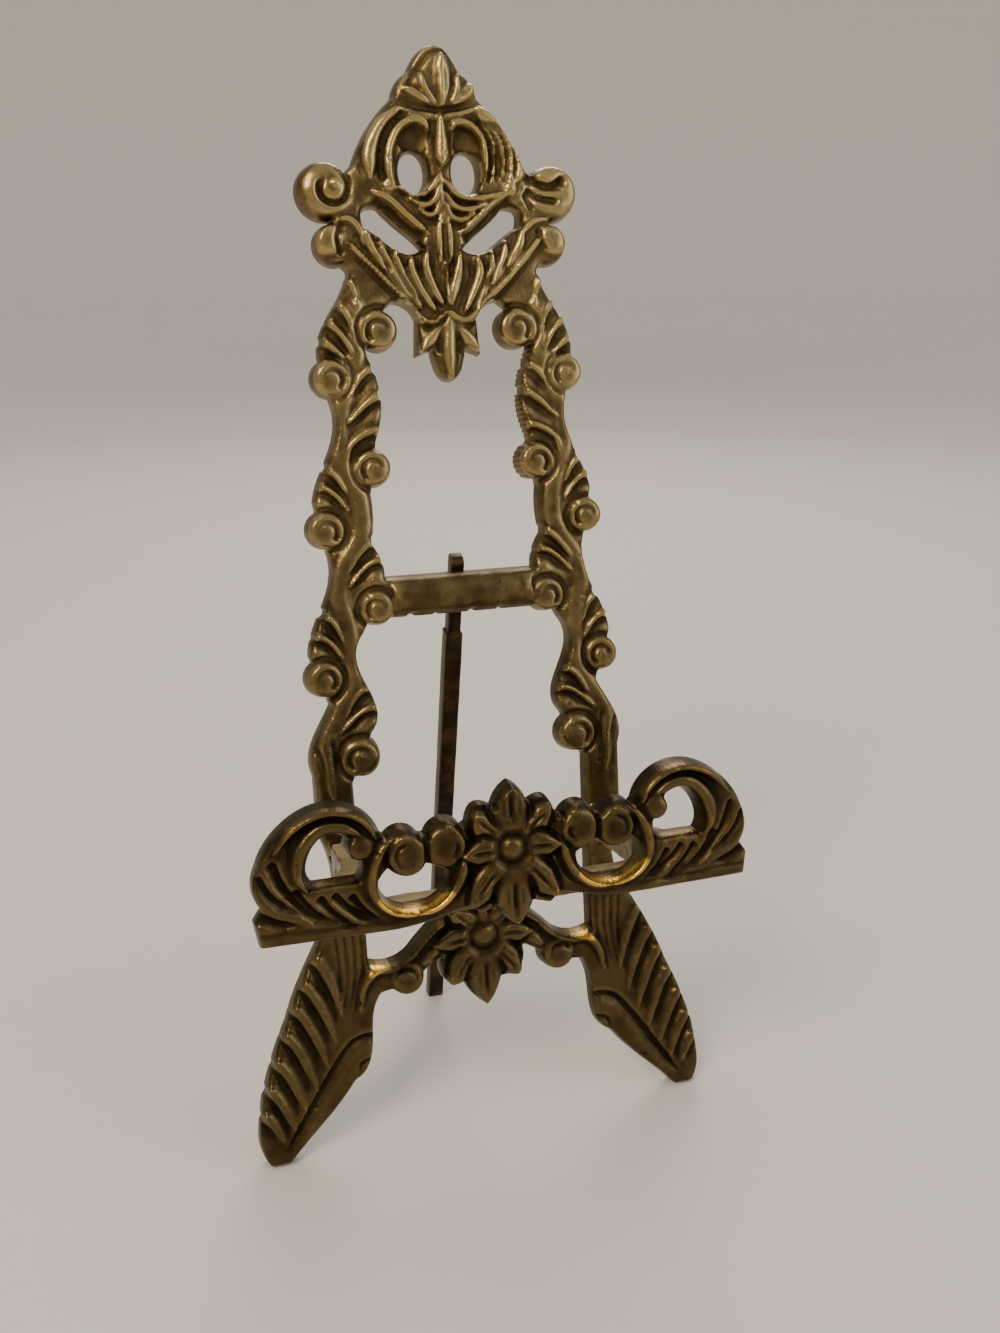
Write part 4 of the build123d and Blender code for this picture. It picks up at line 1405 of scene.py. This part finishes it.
class EASEL_OT_rear_strut(bpy.types.Operator):
    """Models the square bar strut: shoulders, tongue, chamfered head and bore"""

    bl_idname = "easel.rear_strut"
    bl_label = "Rear strut"

    def execute(self, context):
        settings = context.scene.easel_solids
        points, faces = skin(self.sections(settings.bar_side, settings.tongue_width, settings.tongue_depth))
        # The cast bar waves a little each way, but not where it turns between the ears
        shifts = [Vector((0, 0, 40 * axis)) for axis in range(3)]
        waves = 0.07 * np.array([[noise.noise(Vector(p) / 7 + shift) for shift in shifts] for p in points])
        in_hinge = np.abs(points[:, 1:2]) < 9.7
        across, along, out = (points + np.where(in_hinge, 0, waves)).T
        t = PIN_T + along * cos(SPREAD) - out * sin(SPREAD)
        w = PIN_W + along * sin(SPREAD) + out * cos(SPREAD)
        world = to_world(across, t, w)
        # Points under the table slide back up the bar, so that its foot is cut level
        axis = np.array((0.0, -sin(SPREAD - LEAN), cos(SPREAD - LEAN)))
        under = np.minimum(world[:, 2], 0) / axis[2]
        piece = mesh_object("rear_strut_bar", world - under[:, None] * axis, faces)
        cut_away(piece, hinge_bore(settings.pin_radius, clearance=0.06))
        finish_piece(piece, "strut", "strut_brass", dark_bar("dark_patina_brass_bar"), "rear_strut")
        return {"FINISHED"}

    @staticmethod
    def sections(side, width, depth):
        """Rounded sections up the bar: foot to shoulder, tongue to just past the pin, chamfered head."""
        # Along the bar from the pin, width, depth and how far the section sits back from the middle
        stations = [(-along, side, side, 0) for along in np.linspace(160, 13, 90)]
        stations += [(-12.1, side, side, 0), (-12.0, side - 0.4, side - 0.2, 0), (-11.8, width, depth, 0)]
        stations += [(along, width, depth, 0) for along in np.linspace(-11, 8.2, 24)]
        stations += [(8.5, width, depth - 0.1, 0.05), (9.5, width - 0.2, depth - 1.3, 0.6),
                     (9.6, width - 0.6, depth - 1.8, 0.6)]
        rings = []
        for along, wide, deep, behind in stations:
            ring = rounded_ring(wide, deep, 0.45)
            rings.append(np.column_stack([ring[:, 0], np.full(len(ring), along), ring[:, 1] - behind]))
        return rings


class EASEL_OT_stage(bpy.types.Operator):
    """Sets the pale floor, the soft lights and the camera"""

    bl_idname = "easel.stage"
    bl_label = "Stage"

    def execute(self, context):
        settings = context.scene.easel_stage
        self.add_floor()
        # Each light's place in metres, size, power in watts and colour
        for name, place, size, power, colour in (
            ("key_light", (-0.75, -0.70, 1.05), 0.5, 11.0, "FFEBD0"),
            ("fill_light", (0.95, -0.75, 0.55), 0.9, 5.0, "E9EEF7"),
            ("rim_light", (0.35, 0.95, 0.95), 0.6, 6.0, "FFF3E2"),
        ):
            light = bpy.data.lights.new(name, "AREA")
            light.size = size
            light.energy = power
            light.color = linear(colour)[:3]
            aim = Vector((0, 0, 0.13)) - Vector(place)
            lamp = self.placed(context, name, light)
            lamp.location = place
            lamp.rotation_euler = aim.to_track_quat("-Z", "Y").to_euler()
        world = context.scene.world or bpy.data.worlds.new("studio")
        context.scene.world = world
        world.use_nodes = True
        background = world.node_tree.nodes["Background"]
        feed(world.node_tree, background, {"Color": linear(settings.sky), "Strength": 0.75})
        self.add_camera(context, settings)
        return {"FINISHED"}

    @staticmethod
    def placed(context, name, data):
        """An object for a light or a camera, in the scene."""
        obj = bpy.data.objects.new(name, data)
        context.scene.collection.objects.link(obj)
        return obj

    @staticmethod
    def add_floor():
        """A round sheet of paper that curls up far behind and around the easel."""
        profile = [(1.4, 0.0), (1.7, 0.03), (1.95, 0.14), (2.1, 0.34), (2.16, 0.6), (2.18, 1.6)]
        turn = np.linspace(0, 2 * pi, 72, endpoint=False)
        rings = [np.column_stack([r * np.cos(turn), r * np.sin(turn), np.full(72, z)]) for r, z in profile]
        points, (inner_cap, _, *walls) = skin(rings)
        floor = mesh_object("studio_floor", points, [inner_cap] + walls)
        floor.data.materials.append(pale_floor("studio_paper"))

    def add_camera(self, context, settings):
        lens = bpy.data.cameras.new("camera")
        lens.sensor_fit = "VERTICAL"
        lens.sensor_height = 24.0
        lens.lens = settings.focal
        lens.clip_start = 0.01
        relief_y = (BACK_Y - 0.9 * FRAME_THICK / cos(LEAN)) * MM
        x, y, z = settings.place
        turn = Matrix.Rotation(-settings.yaw, 4, "Z") @ Matrix.Rotation(pi / 2 - settings.pitch, 4, "X")
        turn = turn @ Matrix.Rotation(settings.roll, 4, "Z")
        camera = self.placed(context, "camera", lens)
        camera.matrix_world = Matrix.Translation((x, y + relief_y, z)) @ turn
        context.scene.camera = camera


class EASEL_PT_panel(bpy.types.Panel):
    """Lists the easel's pieces"""

    bl_idname = "EASEL_PT_panel"
    bl_label = "Cast brass easel"
    bl_space_type = "VIEW_3D"
    bl_region_type = "UI"
    bl_category = "Easel"

    def draw(self, context):
        for operator in OPERATORS:
            self.layout.operator(operator.bl_idname)


OPERATORS = (EASEL_OT_front_frame, EASEL_OT_front_ledge, EASEL_OT_ledge_arms, EASEL_OT_ledge_screws,
             EASEL_OT_hinge_ears, EASEL_OT_hinge_pin, EASEL_OT_rear_strut, EASEL_OT_stage)
SETTINGS = (("easel_casting", CastingSettings), ("easel_solids", SolidSettings),
            ("easel_patina", PatinaSettings), ("easel_stage", StageSettings))


def register():
    for name, group in SETTINGS:
        bpy.utils.register_class(group)
        setattr(bpy.types.Scene, name, PointerProperty(type=group))
    for operator in OPERATORS:
        bpy.utils.register_class(operator)
    bpy.utils.register_class(EASEL_PT_panel)


def unregister():
    bpy.utils.unregister_class(EASEL_PT_panel)
    for operator in reversed(OPERATORS):
        bpy.utils.unregister_class(operator)
    for name, group in reversed(SETTINGS):
        delattr(bpy.types.Scene, name)
        bpy.utils.unregister_class(group)


def main():
    register()
    for operator in OPERATORS:
        group, name = operator.bl_idname.split(".")
        getattr(getattr(bpy.ops, group), name)()


if __name__ == "__main__":
    main()
